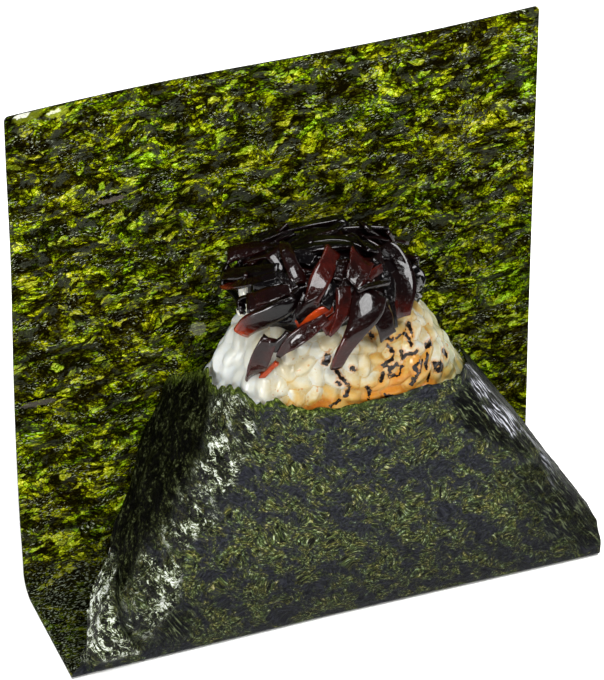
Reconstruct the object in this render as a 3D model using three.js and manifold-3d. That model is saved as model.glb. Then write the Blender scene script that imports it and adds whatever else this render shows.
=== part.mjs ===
// A triangular rice ball in a half sheet of toasted seaweed, with a heap of simmered
// kelp strips on top. The sheet passes under the ball, stands up behind it as a tall
// panel, and folds up over its front and round its two slanted sides.
//
// Millimetres. +X runs along the base of the ball, +Z is up, and the wrapped face
// looks towards -Y. The origin is in the flat underside that the sheet rests on.

import * as THREE from "three";
import { mergeVertices } from "three/addons/utils/BufferGeometryUtils.js";
import { MeshSurfaceSampler } from "three/addons/math/MeshSurfaceSampler.js";
import Module from "manifold-3d";

const wasm = await Module();
wasm.setup();

// ---------------------------------------------------------------- driving sizes

const DEGREE = Math.PI / 180;
const CLEARANCE = 0.35; // air between neighbouring pieces

// The slanted planes that the sheet's wings lie in, on either side of the ball: where
// each meets the ground across the front, and its slope.
const SIDES = {
  left: { foot: -49.5, slope: 60 * DEGREE },
  right: { foot: 60.3, slope: 57.5 * DEGREE },
};

// Half a sheet of toasted seaweed, 105 mm wide. It is thicker than the real leaf, so
// that it can be a solid.
const SHEET = {
  width: 105,
  length: 186.4,
  thickness: 0.6,
  flap: 50, // stands up in front
  depth: 28.8, // from the front fold to the back panel
  foldRadius: 1.2,
  bendRadius: 4.2,
  cornerLeft: -51.9, // ends of the front fold, where the moist sheet has spread
  cornerRight: 55.3,
  skew: 0.02, // the fold runs this much forward on its right half
};

// The ball is pressed in a triangular mould with soft edges.
const BALL = {
  back: 8.7, // the plane of its back face, clear of the sheet's tall panel
  apexRadius: 23,
  cornerRadius: 12,
  frontEdge: 9,
  backEdge: 9,
  bulge: 2.5, // how far the middle of the front face swells out
  bulgeReach: 10,
};

const GRAIN = {
  length: 6.4,
  width: 3.2,
  height: 2.7,
  sunk: 0.35,
  spacing: 3.6, // round the open top
  coveredSpacing: 5.6, // behind the ball and down its sides
  openAbove: 44,
};

// The kelp lies in a mound over the ball's top. The strips lie in an ellipsoid skin,
// packed tight over a smaller one.
const MOUND = {
  centre: new THREE.Vector3(2.4, -3.2, 63.6),
  reach: new THREE.Vector3(19.3, 14.8, 16.6),
  coreCentre: new THREE.Vector3(2.4, -3.2, 67),
  coreReach: new THREE.Vector3(17.2, 12.8, 11.4),
};

const FRONT_Y = -SHEET.depth / 2;
const BACK_Y = SHEET.depth / 2;
const SKIN = SHEET.thickness / 2;

// ---------------------------------------------------------------------- helpers

const clamp01 = (x) => Math.min(1, Math.max(0, x));

function smoothStep(from, to, x) {
  const k = clamp01((x - from) / (to - from));
  return k * k * (3 - 2 * k);
}

// A repeatable stream of numbers from 0 to 1.
function randomStream(seed) {
  let state = seed;
  return () => {
    state = (state * 1664525 + 1013904223) % 4294967296;
    return state / 4294967296;
  };
}

function solidFrom(geometry) {
  const bare = geometry.clone();
  for (const name of ["normal", "uv"]) bare.deleteAttribute(name);
  const merged = mergeVertices(bare, 1e-4);
  return new wasm.Manifold(
    new wasm.Mesh({
      numProp: 3,
      vertProperties: new Float32Array(merged.attributes.position.array),
      triVerts: new Uint32Array(merged.index.array),
    }),
  );
}

function geometryFrom(solid) {
  const mesh = solid.getMesh();
  const geometry = new THREE.BufferGeometry();
  geometry.setAttribute(
    "position",
    new THREE.BufferAttribute(new Float32Array(mesh.vertProperties), 3),
  );
  geometry.setIndex(new THREE.BufferAttribute(new Uint32Array(mesh.triVerts), 1));
  geometry.computeVertexNormals();
  return geometry;
}

// The largest of a solid's separate bodies: loose scraps are dropped.
function largestBody(solid) {
  return solid.decompose().sort((a, b) => b.volume() - a.volume())[0];
}

function indexedGeometry(points, triangles) {
  const geometry = new THREE.BufferGeometry().setFromPoints(points);
  geometry.setIndex(triangles);
  return geometry;
}

// ------------------------------------------------------------ the ball's outline

// The three straight sides seen from the front, in x and z: the base, the right side
// and the left side. Each is an outward normal and its distance from the origin.
// The sides lean in from the ends of the front fold, inside the sheet that covers them.
function ballSides() {
  const gap = SKIN + CLEARANCE;
  const side = ({ foot, slope }) => {
    const normal = new THREE.Vector2(Math.sign(foot) * Math.sin(slope), Math.cos(slope));
    return { normal, distance: normal.x * foot - gap };
  };
  const base = { normal: new THREE.Vector2(0, -1), distance: -SKIN - gap };
  return [base, side(SIDES.right), side(SIDES.left)];
}

// Where two lines, each moved inwards by depth, cross.
function crossing(a, b, depth) {
  const p = a.distance - depth;
  const q = b.distance - depth;
  const det = a.normal.x * b.normal.y - a.normal.y * b.normal.x;
  return new THREE.Vector2(
    (p * b.normal.y - q * a.normal.y) / det,
    (a.normal.x * q - b.normal.x * p) / det,
  );
}

// The rounded corners, in order round the outline. inset shrinks the outline.
function ballCorners(inset) {
  const sides = ballSides();
  const radii = [BALL.cornerRadius, BALL.apexRadius, BALL.cornerRadius];
  return radii.map((full, i) => {
    const before = sides[i];
    const after = sides[(i + 1) % 3];
    const radius = Math.max(full - inset, 0.8);
    const turn = after.normal.angle() - before.normal.angle();
    return {
      centre: crossing(before, after, radius + inset),
      radius,
      before,
      after,
      sweep: THREE.MathUtils.euclideanModulo(turn, Math.PI * 2),
    };
  });
}

// The closed ring of outline points: each corner as an arc, with points between them.
const ARC_STEPS = 5;
const SIDE_STEPS = 4;
function outline(inset) {
  const corners = ballCorners(inset);
  const arcs = corners.map(({ centre, radius, before, sweep }) => {
    const start = before.normal.angle();
    return Array.from({ length: ARC_STEPS + 1 }, (_, i) => {
      const angle = start + sweep * (i / ARC_STEPS);
      return new THREE.Vector2(Math.cos(angle), Math.sin(angle))
        .multiplyScalar(radius)
        .add(centre);
    });
  });
  return arcs.flatMap((arc, i) => {
    const next = arcs[(i + 1) % 3][0];
    const last = arc[ARC_STEPS];
    const side = Array.from({ length: SIDE_STEPS - 1 }, (_, k) =>
      last.clone().lerp(next, (k + 1) / SIDE_STEPS),
    );
    return [...arc, ...side];
  });
}

// How far a point in the outline lies inside it.
function insetAt(x, z) {
  const point = new THREE.Vector2(x, z);
  const inside = ballSides().map((side) => side.distance - side.normal.dot(point));
  const apex = ballCorners(0)[1];
  const fromApex = point.clone().sub(apex.centre);
  const inArc = apex.before.normal.cross(fromApex) > 0 && fromApex.cross(apex.after.normal) > 0;
  return inArc ? Math.min(inside[0], apex.radius - fromApex.length()) : Math.min(...inside);
}

// The swell of the front face: nothing along the three sides, most in the middle.
function swell(x, z) {
  const point = new THREE.Vector2(x, z);
  return ballSides().reduce((share, side) => {
    const inside = Math.max(0, side.distance - side.normal.dot(point));
    return share * (1 - Math.exp(-inside / BALL.bulgeReach));
  }, BALL.bulge);
}

// ------------------------------------------------------------------ rice ball core

// How far a round edge of the given radius falls back from a face, at an inset from
// the outline.
function edgeDrop(radius, inset) {
  const short = Math.max(0, radius - inset);
  return radius - Math.sqrt(radius ** 2 - short ** 2);
}

function frontAt(x, z, inset) {
  const face = FRONT_Y + SKIN + CLEARANCE;
  return face + edgeDrop(BALL.frontEdge, inset) - swell(x, z);
}

function backAt(inset) {
  return BALL.back - edgeDrop(BALL.backEdge, inset);
}

// Rings from the middle of the front face, over the edge, to the middle of the back,
// each at an inset from the outline. grow makes the whole core larger all round.
const FRONT_INSETS = [21, 15, 10, 6, 3.2, 1.2, 0];
const BACK_INSETS = [0, 1.2, 3.4, 6.5, 16];
function ballCore(grow = 0) {
  const ring = (inset, yAt) =>
    outline(inset - grow).map((p) => new THREE.Vector3(p.x, yAt(p.x, p.y), p.y));
  const rings = [
    ...FRONT_INSETS.map((inset) => ring(inset, (x, z) => frontAt(x, z, inset) - grow)),
    ...BACK_INSETS.map((inset) => ring(inset, () => backAt(inset) + grow)),
  ];
  const count = rings[0].length;
  const middle = (points, y) => {
    const sum = points.reduce((a, p) => a.add(p), new THREE.Vector3());
    return sum.divideScalar(count).setY(y);
  };
  const front = middle(rings[0], rings[0][0].y - 0.3);
  const back = middle(rings.at(-1), rings.at(-1)[0].y);
  const points = [front, ...rings.flat(), back];
  const triangles = [];
  const at = (r, i) => 1 + r * count + (i % count);
  for (let i = 0; i < count; i++) {
    triangles.push(0, at(0, i), at(0, i + 1));
    for (let r = 0; r < rings.length - 1; r++) {
      triangles.push(at(r, i), at(r + 1, i), at(r + 1, i + 1));
      triangles.push(at(r, i), at(r + 1, i + 1), at(r, i + 1));
    }
    triangles.push(points.length - 1, at(rings.length - 1, i + 1), at(rings.length - 1, i));
  }
  return indexedGeometry(points, triangles);
}

// ------------------------------------------------------------------ seaweed sheet

// The left of the flap has been pulled up, and its wing is gathered in small creases
// and clings to the ball's rear edge. The right wing stands nearly straight back.
// share is how much of its width is left. round is the radius at the crease, from the
// foot of the crease to roundBy along it. curl is the radius of the wing behind the
// ball, which opens out over curlOver.
const WING = {
  left: {
    ...SIDES.left,
    share: 0.68,
    round: [0.7, 8],
    roundBy: 32,
    curl: [9.7, 60],
    curlOver: [26, 46],
  },
  right: {
    ...SIDES.right,
    share: 1,
    round: [3, 5],
    roundBy: 42,
    curl: [90, 90],
    curlOver: [26, 46],
  },
};
const GATHER = { depth: 0.35, start: 3, across: 3.1, up: 2.6 };
const PULL = { start: 2, end: -30, rise: 9.5 };
const PLEAT = { across: -44, up: 11, halfWidth: 7, halfHeight: 11, lift: 1.5 };

// Slow waves of the tall panel: across its free top, down its left edge, and a slight
// backward lean of its right half. over is the height each one sets in over.
const WAVES = {
  top: { height: 0.9, centre: -26, length: 17, over: [64, 100] },
  leftEdge: { height: 1.3, centre: 34, length: 22, over: [4, 16], across: [-30, -52] },
  right: { height: 0.35, over: [12, 40], across: [-20, 45] },
};

// Height of the flap's free edge above the top of the front fold.
function flapHeight(x) {
  return SHEET.flap + PULL.rise * smoothStep(PULL.start, PULL.end, x);
}

// Wraps a point of the flat front, x across and h up, round one slanted side.
function wrapSide(x, h, wing) {
  const away = Math.sign(wing.foot);
  const along = { x: -away * Math.cos(wing.slope), z: Math.sin(wing.slope) };
  const out = { x: away * Math.sin(wing.slope), z: Math.cos(wing.slope) };
  const dx = x - wing.foot;
  const p = dx * along.x + h * along.z;
  const q = dx * out.x + h * out.z;
  const radius = THREE.MathUtils.lerp(...wing.round, smoothStep(0, wing.roundBy, p));
  const arc = q + radius;
  if (arc <= 0) return { x, z: h, back: 0, past: 0, out };
  const angle = Math.min(arc / radius, Math.PI / 2);
  const past = Math.max(0, arc - (radius * Math.PI) / 2) * wing.share;
  const straight = BALL.back - BALL.backEdge - FRONT_Y - radius;
  const curl = THREE.MathUtils.lerp(...wing.curl, smoothStep(...wing.curlOver, p));
  const turn = Math.max(0, past - straight) / curl;
  const across = radius * (Math.sin(angle) - 1) - curl * (1 - Math.cos(turn));
  return {
    x: wing.foot + along.x * p + out.x * across,
    z: along.z * p + out.z * across,
    back: radius * (1 - Math.cos(angle)) + Math.min(past, straight) + curl * Math.sin(turn),
    past,
    out,
  };
}

// The small pleat that stands off the sheet at the lower left corner.
function pleatLift(x, h) {
  const a = 1 - Math.abs(x - PLEAT.across) / PLEAT.halfWidth;
  const b = 1 - Math.abs(h - PLEAT.up) / PLEAT.halfHeight;
  return PLEAT.lift * clamp01(a) * clamp01(b);
}

function panelWave(x, z) {
  const { top, leftEdge, right } = WAVES;
  const free = smoothStep(...top.over, z);
  const left = smoothStep(...leftEdge.across, x) * smoothStep(...leftEdge.over, z) * (1 - free);
  const lean = smoothStep(...right.across, x) * smoothStep(...right.over, z);
  return (
    top.height * free * Math.cos((x - top.centre) / top.length) +
    leftEdge.height * left * Math.cos((z - leftEdge.centre) / leftEdge.length) +
    right.height * lean
  );
}

// Small creases pressed into the gathered wing, always away from the ball. past is the
// distance behind the crease that the wing turns at.
function gatherLift(x, h, past) {
  const fade = smoothStep(0, GATHER.start, past);
  return GATHER.depth * fade * (1 + Math.sin(h / GATHER.up + x / GATHER.across));
}

// Where the front fold lies, x across.
function foldY(x) {
  return FRONT_Y - SHEET.skew * Math.max(0, x);
}

// A point of the sheet's middle surface. s runs across it from -0.5 to 0.5, and t is
// the length along it from the front flap's free edge.
const FOLD_ARC = (Math.PI / 2) * SHEET.foldRadius;
const BEND_ARC = (Math.PI / 2) * SHEET.bendRadius;
const FLOOR_RUN = SHEET.depth - SHEET.foldRadius - SHEET.bendRadius;
function sheetPoint(s, t) {
  const foldX = THREE.MathUtils.lerp(SHEET.cornerLeft, SHEET.cornerRight, s + 0.5);
  const panelX = s * (SHEET.width - 1);
  const fold = SHEET.flap;
  const floor = fold + FOLD_ARC;
  const bend = floor + FLOOR_RUN;
  const panel = bend + BEND_ARC;
  if (t < fold) {
    const h = SHEET.foldRadius + (1 - t / fold) * flapHeight(foldX);
    const onLeft = foldX < 0;
    const w = wrapSide(foldX, h, onLeft ? WING.left : WING.right);
    const pleat = pleatLift(foldX, h);
    const lift = pleat + (onLeft ? gatherLift(foldX, h, w.past) : 0);
    return new THREE.Vector3(
      w.x + w.out.x * lift,
      foldY(w.x) - swell(w.x, w.z) + w.back - pleat,
      SKIN + w.z + w.out.z * lift,
    );
  }
  if (t < floor) {
    const angle = (t - fold) / SHEET.foldRadius;
    return new THREE.Vector3(
      foldX,
      foldY(foldX) + SHEET.foldRadius * (1 - Math.cos(angle)),
      SKIN + SHEET.foldRadius * (1 - Math.sin(angle)),
    );
  }
  const x = THREE.MathUtils.lerp(foldX, panelX, smoothStep(fold, bend, t));
  if (t < bend) {
    const run = (t - floor) / FLOOR_RUN;
    const from = foldY(foldX) + SHEET.foldRadius;
    return new THREE.Vector3(x, THREE.MathUtils.lerp(from, BACK_Y - SHEET.bendRadius, run), SKIN);
  }
  if (t < panel) {
    const angle = (t - bend) / SHEET.bendRadius;
    return new THREE.Vector3(
      x,
      BACK_Y - SHEET.bendRadius * (1 - Math.sin(angle)),
      SKIN + SHEET.bendRadius * (1 - Math.cos(angle)),
    );
  }
  const z = SKIN + SHEET.bendRadius + t - panel;
  return new THREE.Vector3(x, BACK_Y + panelWave(x, z), z);
}

// Evenly spaced stations along each stretch of the sheet, closer together in the bends.
function sheetStations() {
  const stretches = [
    [SHEET.flap, 12],
    [FOLD_ARC, 2],
    [FLOOR_RUN, 3],
    [BEND_ARC, 3],
    [SHEET.length - SHEET.flap - FOLD_ARC - FLOOR_RUN - BEND_ARC, 11],
  ];
  const stations = [0];
  for (const [length, steps] of stretches) {
    const start = stations.at(-1);
    for (let i = 1; i <= steps; i++) stations.push(start + (length * i) / steps);
  }
  return stations;
}

// Columns bunch together along the two creases, which slant across the flap. Each
// stretch of columns is a count and the place across the sheet where it ends, h above
// the fold. reach is how far the bunch goes beyond the crease and before it.
const COLUMNS = { wing: 4, crease: 4, face: 7, least: 0.4, leftReach: [5, 9], rightReach: [4, 6] };
function columnStretches(h) {
  const { wing, crease, least, leftReach, rightReach } = COLUMNS;
  const creaseAt = ({ foot, slope }) => foot - (Math.sign(foot) * h) / Math.tan(slope);
  const left = creaseAt(WING.left);
  const right = creaseAt(WING.right);
  const wingLeft = Math.max(SHEET.cornerLeft + least * wing, left - leftReach[0]);
  const faceLeft = Math.max(wingLeft + least * crease, left + leftReach[1]);
  const wingRight = Math.min(SHEET.cornerRight - least * wing, right + rightReach[0]);
  const faceRight = Math.min(wingRight - least * crease, right - rightReach[1]);
  return [
    [COLUMNS.wing, wingLeft],
    [COLUMNS.crease, faceLeft],
    [COLUMNS.face, faceRight],
    [COLUMNS.crease, wingRight],
    [COLUMNS.wing, SHEET.cornerRight],
  ];
}

// Places across the sheet, from -0.5 to 0.5, of the columns at a length t along it.
function columnPlaces(t) {
  const h = Math.max(0, 1 - t / SHEET.flap) * SHEET.flap;
  const spread = smoothStep(SHEET.flap, SHEET.flap + SHEET.depth, t);
  const places = [SHEET.cornerLeft];
  for (const [count, end] of columnStretches(h)) {
    const start = places.at(-1);
    for (let i = 1; i <= count; i++) places.push(THREE.MathUtils.lerp(start, end, i / count));
  }
  const width = SHEET.cornerRight - SHEET.cornerLeft;
  return places.map((x, i) => {
    const place = (x - SHEET.cornerLeft) / width;
    return THREE.MathUtils.lerp(place, i / (places.length - 1), spread) - 0.5;
  });
}

// The sheet's normal, towards the ball, from points a short step to either side.
const NORMAL_STEP = { across: 0.001, along: 0.1 };
function sheetNormal(s, t) {
  const s0 = Math.max(-0.5, s - NORMAL_STEP.across);
  const s1 = Math.min(0.5, s + NORMAL_STEP.across);
  const t0 = Math.max(0, t - NORMAL_STEP.along);
  const t1 = Math.min(SHEET.length, t + NORMAL_STEP.along);
  const across = sheetPoint(s1, t).sub(sheetPoint(s0, t));
  const along = sheetPoint(s, t1).sub(sheetPoint(s, t0));
  return across.cross(along).normalize();
}

// Both faces of the sheet on one grid, split alike, with a rim round the edge.
function sheetGeometry() {
  const stations = sheetStations();
  const rows = stations.length;
  const columns = columnPlaces(0).length;
  const inner = [];
  const outer = [];
  for (const t of stations) {
    for (const s of columnPlaces(t)) {
      const point = sheetPoint(s, t);
      const normal = sheetNormal(s, t);
      inner.push(point.clone().addScaledVector(normal, SKIN));
      outer.push(point.clone().addScaledVector(normal, -SKIN));
    }
  }
  const points = [...inner, ...outer];
  const triangles = [];
  const other = inner.length;
  const at = (r, c) => r * columns + c;
  const strip = (a, b) => {
    triangles.push(a, a + other, b + other);
    triangles.push(a, b + other, b);
  };
  for (let r = 0; r < rows - 1; r++) {
    for (let c = 0; c < columns - 1; c++) {
      const [p, q, u, v] = [at(r, c), at(r, c + 1), at(r + 1, c + 1), at(r + 1, c)];
      triangles.push(p, q, u, p, u, v);
      triangles.push(p + other, u + other, q + other, p + other, v + other, u + other);
    }
    strip(at(r + 1, 0), at(r, 0));
    strip(at(r, columns - 1), at(r + 1, columns - 1));
  }
  for (let c = 0; c < columns - 1; c++) {
    strip(at(0, c), at(0, c + 1));
    strip(at(rows - 1, c + 1), at(rows - 1, c));
  }
  return indexedGeometry(points, triangles);
}

// --------------------------------------------------------------------- kelp strips

// A place on the mound: side is degrees to the right of its middle, and rise is
// degrees up from straight ahead, so 90 is the top and 180 is the back.
function onMound(side, rise, lift) {
  const a = side * DEGREE;
  const b = rise * DEGREE;
  const way = new THREE.Vector3(
    Math.sin(a),
    -Math.cos(a) * Math.cos(b),
    Math.cos(a) * Math.sin(b),
  );
  const normal = way.clone().divide(MOUND.reach).normalize();
  return way.multiply(MOUND.reach).add(MOUND.centre).addScaledVector(normal, lift);
}

// Strips that hang below the mound lie against the ball's front.
function clearOfBall(point) {
  const inset = insetAt(point.x, point.z);
  if (inset <= 0 || point.y > MOUND.centre.y) return point;
  const front = frontAt(point.x, point.z, inset) - CLEARANCE - STRIP.thickness;
  return point.setY(Math.min(point.y, front));
}

// Strips that show, each from one end to the other: side and rise in degrees, then
// the width at each end, how far it lies above the rest, and its lean about its length.
const SHOWN_STRIPS = [
  { from: [18, 46], to: [-8, -6], width: [7, 2.4], lift: 1.7, lean: -8 },
  { from: [16, 21], to: [24, 6], width: [3.2, 3], lift: 0.9, lean: 0 },
  { from: [40, 86], to: [35, 20], width: [3.8, 4.4], lift: 1.7, lean: 10 },
  { from: [-49, 28], to: [-54, -46], width: [4, 3.8], lift: 0.9, lean: 0 },
  { from: [-42, 6], to: [2, 38], width: [2.2, 2.8], lift: 1.2, lean: -10 },
  { from: [-62, 30], to: [-27, 47], width: [4.6, 4], lift: 0.8, lean: 6 },
  { from: [-17, 44], to: [2, 78], width: [3.4, 4.2], lift: 2.1, lean: -14 },
  { from: [-22, 53], to: [-20, 101], width: [2.8, 2.8], lift: 2.6, lean: 10 },
  { from: [-54, 72], to: [-26, 57], width: [2.8, 3.2], lift: 1.2, lean: 0 },
  { from: [-57, 112], to: [-28, 70], width: [3.2, 2.6], lift: 0.9, lean: -12 },
  { from: [-56, 134], to: [-24, 86], width: [3, 2.8], lift: 1.5, lean: 0 },
  { from: [-46, 140], to: [-16, 106], width: [3, 2.6], lift: 1.6, lean: 16 },
  { from: [-28, 132], to: [20, 118], width: [3.2, 3], lift: 2, lean: 0 },
  { from: [-18, 101], to: [36, 96], width: [2.6, 2.6], lift: 2.4, lean: 34 },
  { from: [28, 106], to: [54, 100], width: [3, 2.6], lift: 1.6, lean: 10 },
  { from: [44, 66], to: [64, 20], width: [4.4, 4.8], lift: 0.9, lean: 12 },
  { from: [15, 76], to: [4, 46], width: [5, 4.4], lift: 1.2, lean: -6 },
  { from: [0, 53], to: [-13, 18], width: [2.6, 1.6], lift: 1.7, lean: 16 },
  { from: [2, 40], to: [-26, 32], width: [2.6, 2.4], lift: 0.9, lean: 0 },
  { from: [-40, 0], to: [-50, -56], width: [1, 0.9], lift: 0.2, lean: 0 },
];
const STRIP = { thickness: 0.9, steps: 4, seat: -1.5, drape: 0.6 };

// A strip is a little stiff, so it bends less than the mound that it lies on, and its
// ends stand clear.
function stripGeometry({ from, to, width, lift, lean }) {
  const place = (k) => [
    THREE.MathUtils.lerp(from[0], to[0], k),
    THREE.MathUtils.lerp(from[1], to[1], k),
  ];
  const drapedAt = (k) => {
    const chord = onMound(...place(0), 0).lerp(onMound(...place(1), 0), k);
    return chord.lerp(onMound(...place(k), 0), STRIP.drape);
  };
  const sag = drapedAt(0.5).distanceTo(onMound(...place(0.5), 0));
  const stations = Array.from({ length: STRIP.steps + 1 }, (_, i) => {
    const k = i / STRIP.steps;
    const up = onMound(...place(k), 3).sub(onMound(...place(k), 0)).normalize();
    const base = drapedAt(k).addScaledVector(up, STRIP.seat + lift + sag);
    return { base: clearOfBall(base), up, width: THREE.MathUtils.lerp(...width, k) };
  });
  const points = [];
  stations.forEach((station, i) => {
    const before = stations[Math.max(0, i - 1)].base;
    const after = stations[Math.min(STRIP.steps, i + 1)].base;
    const along = after.clone().sub(before).normalize();
    const up = station.up.clone().addScaledVector(along, -station.up.dot(along)).normalize();
    up.applyAxisAngle(along, lean * DEGREE);
    const across = up.clone().cross(along);
    for (const [a, b] of [[-1, -1], [1, -1], [1, 1], [-1, 1]]) {
      points.push(
        station.base
          .clone()
          .addScaledVector(across, (a * station.width) / 2)
          .addScaledVector(up, (b * STRIP.thickness) / 2),
      );
    }
  });
  const triangles = [];
  for (let i = 0; i < STRIP.steps; i++) {
    for (let k = 0; k < 4; k++) {
      const a = i * 4 + k;
      const b = i * 4 + ((k + 1) % 4);
      triangles.push(a, b, b + 4, a, b + 4, a + 4);
    }
  }
  const last = STRIP.steps * 4;
  triangles.push(0, 2, 1, 0, 3, 2);
  triangles.push(last, last + 1, last + 2, last, last + 2, last + 3);
  return indexedGeometry(points, triangles);
}

// Strips strewn over the rest of the mound, by a seeded rule. The golden ratio spreads
// them from side to side while they climb from the front, over the top, to the back.
const STREWN = { count: 14, seed: 41, rise: [30, 180], side: [-62, 62], reach: [20, 32] };
const GOLDEN = 0.618;
function strewnStrips() {
  const { count, seed, rise, side, reach } = STREWN;
  const random = randomStream(seed);
  const { lerp } = THREE.MathUtils;
  return Array.from({ length: count }, (_, i) => {
    const up = lerp(...rise, (i + 0.5) / count);
    const over = lerp(...side, (i * GOLDEN) % 1);
    const turn = lerp(-0.75, 0.75, random());
    const half = lerp(...reach, random());
    return {
      from: [over - half * Math.cos(turn), up - half * Math.sin(turn)],
      to: [over + half * Math.cos(turn), up + half * Math.sin(turn)],
      width: [lerp(2.4, 3.4, random()), lerp(2.4, 3.4, random())],
      lift: lerp(0.1, 0.9, random()),
      lean: lerp(-15, 15, random()),
    };
  });
}

function kelpSolid(sheet) {
  const core = new THREE.SphereGeometry(1, 20, 12);
  core.scale(...MOUND.coreReach.toArray());
  core.translate(...MOUND.coreCentre.toArray());
  const strips = [...SHOWN_STRIPS, ...strewnStrips()].map((strip) =>
    solidFrom(stripGeometry(strip)),
  );
  const heap = wasm.Manifold.union([solidFrom(core), ...strips]);
  const room = solidFrom(ballCore(CLEARANCE));
  const nearPanel = sheet.translate([0, -CLEARANCE, 0]);
  return largestBody(heap.subtract(room).subtract(sheet).subtract(nearPanel));
}

// -------------------------------------------------------------------- rice grains

function grainGeometry(scale) {
  const grain = new THREE.SphereGeometry(0.5, 6, 3);
  grain.rotateZ(Math.PI / 2);
  grain.scale(GRAIN.length * scale, GRAIN.width * scale, GRAIN.height * scale);
  return grain;
}

// Grains lie flat on the core, turned at random and no closer than the spacing, on
// every part of it that the sheet and the kelp leave bare, most of them round the top.
const GRAIN_TRIES = 5000;
const GRAIN_ROOM = 1.14; // a grain is tried at this scale, which leaves air round it
function grainMatrices(core, blockers) {
  const random = randomStream(7);
  const sampler = new MeshSurfaceSampler(new THREE.Mesh(core)).setRandomGenerator(random);
  sampler.build();
  const probe = solidFrom(grainGeometry(GRAIN_ROOM));
  const point = new THREE.Vector3();
  const normal = new THREE.Vector3();
  const flat = new THREE.Vector3(0, 0, 1);
  const placed = [];
  for (let i = 0; i < GRAIN_TRIES; i++) {
    sampler.sample(point, normal);
    const spin = random() * Math.PI;
    const low = smoothStep(GRAIN.openAbove, GRAIN.openAbove - 8, point.z);
    const covered = Math.max(low, smoothStep(0.2, 0.8, normal.y));
    const spacing = THREE.MathUtils.lerp(GRAIN.spacing, GRAIN.coveredSpacing, covered);
    if (placed.some((p) => p.point.distanceTo(point) < spacing)) continue;
    const turn = new THREE.Quaternion().setFromUnitVectors(flat, normal);
    turn.multiply(new THREE.Quaternion().setFromAxisAngle(flat, spin));
    const seat = point.clone().addScaledVector(normal, -GRAIN.sunk);
    const matrix = new THREE.Matrix4().compose(seat, turn, new THREE.Vector3(1, 1, 1));
    const body = probe.transform(matrix.elements);
    if (blockers.some((blocker) => !body.intersect(blocker).isEmpty())) continue;
    placed.push({ point: point.clone(), matrix });
  }
  return placed.map((p) => p.matrix);
}

function riceSolid(sheet, kelp) {
  const core = ballCore();
  const triangles = core.toNonIndexed();
  triangles.computeVertexNormals();
  const grain = solidFrom(grainGeometry(1));
  const grains = grainMatrices(triangles, [sheet, kelp]).map((m) => grain.transform(m.elements));
  return largestBody(wasm.Manifold.union([solidFrom(core), ...grains]));
}

// ------------------------------------------------------------------------ assembly

const finishes = {
  rice: new THREE.MeshStandardMaterial({ color: 0xe9e2cf, roughness: 0.35, metalness: 0 }),
  seaweed: new THREE.MeshStandardMaterial({ color: 0x2b3320, roughness: 0.45, metalness: 0 }),
  kelp: new THREE.MeshStandardMaterial({ color: 0x2a100c, roughness: 0.18, metalness: 0 }),
};

function namedMesh(name, geometry, material) {
  const mesh = new THREE.Mesh(geometry, material);
  mesh.name = name;
  return mesh;
}

const sheetSolid = solidFrom(sheetGeometry());
const kelpHeap = kelpSolid(sheetSolid);
const riceBall = riceSolid(sheetSolid, kelpHeap);

const onigiri = new THREE.Group();
onigiri.name = "onigiri";
onigiri.add(
  namedMesh("rice_ball", geometryFrom(riceBall), finishes.rice),
  namedMesh("seaweed_sheet", geometryFrom(sheetSolid), finishes.seaweed),
  namedMesh("kelp_heap", geometryFrom(kelpHeap), finishes.kelp),
);

export default onigiri;
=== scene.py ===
"""A triangular rice ball in a folded sheet of toasted seaweed, heaped with simmered kelp.

Lengths in the functions are millimetres, and each finished mesh is scaled to metres.
+X runs along the base of the ball, +Z is up, and the wrapped face looks towards -Y.
"""

import math

import bmesh
import bpy
import numpy as np
from bpy.props import FloatProperty, FloatVectorProperty, IntProperty, PointerProperty
from bpy.types import Operator, Panel, PropertyGroup
from mathutils import Matrix, Vector, kdtree, noise


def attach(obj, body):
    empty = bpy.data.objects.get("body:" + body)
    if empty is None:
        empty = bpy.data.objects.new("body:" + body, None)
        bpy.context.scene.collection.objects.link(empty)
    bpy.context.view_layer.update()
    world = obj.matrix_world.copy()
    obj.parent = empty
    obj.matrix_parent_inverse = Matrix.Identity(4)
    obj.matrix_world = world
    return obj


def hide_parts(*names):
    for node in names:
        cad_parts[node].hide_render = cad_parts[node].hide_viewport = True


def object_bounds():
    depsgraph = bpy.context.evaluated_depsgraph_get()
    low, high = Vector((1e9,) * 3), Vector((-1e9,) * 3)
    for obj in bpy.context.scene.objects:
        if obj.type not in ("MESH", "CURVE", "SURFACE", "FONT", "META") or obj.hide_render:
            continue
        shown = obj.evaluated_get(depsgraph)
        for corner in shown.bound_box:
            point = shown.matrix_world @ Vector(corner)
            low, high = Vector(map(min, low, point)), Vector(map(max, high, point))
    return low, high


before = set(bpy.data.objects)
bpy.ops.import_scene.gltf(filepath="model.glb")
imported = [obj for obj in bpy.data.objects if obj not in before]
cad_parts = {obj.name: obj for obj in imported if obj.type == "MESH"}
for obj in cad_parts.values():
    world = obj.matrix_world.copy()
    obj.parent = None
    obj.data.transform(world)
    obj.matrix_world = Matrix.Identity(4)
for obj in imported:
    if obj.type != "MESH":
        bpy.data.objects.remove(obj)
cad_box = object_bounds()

bl_info = {
    "name": "Seaweed-wrapped rice ball",
    "version": (1, 0, 0),
    "blender": (4, 5, 0),
    "location": "3D View > Sidebar > Rice Ball",
    "description": "Builds the seaweed sheet, the rice and the simmered kelp around the packed solids",
    "category": "Add Mesh",
}

MM = 0.001
UP = np.array([0.0, 0.0, 1.0])


# ---- colours ----


def linear(value):
    """The linear RGBA of an sRGB hex colour."""
    channels = [((value >> shift) & 255) / 255 for shift in (16, 8, 0)]
    curve = [c / 12.92 if c <= 0.04045 else ((c + 0.055) / 1.055) ** 2.4 for c in channels]
    return (*curve, 1.0)


# ---- sizes of the object ----

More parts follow.
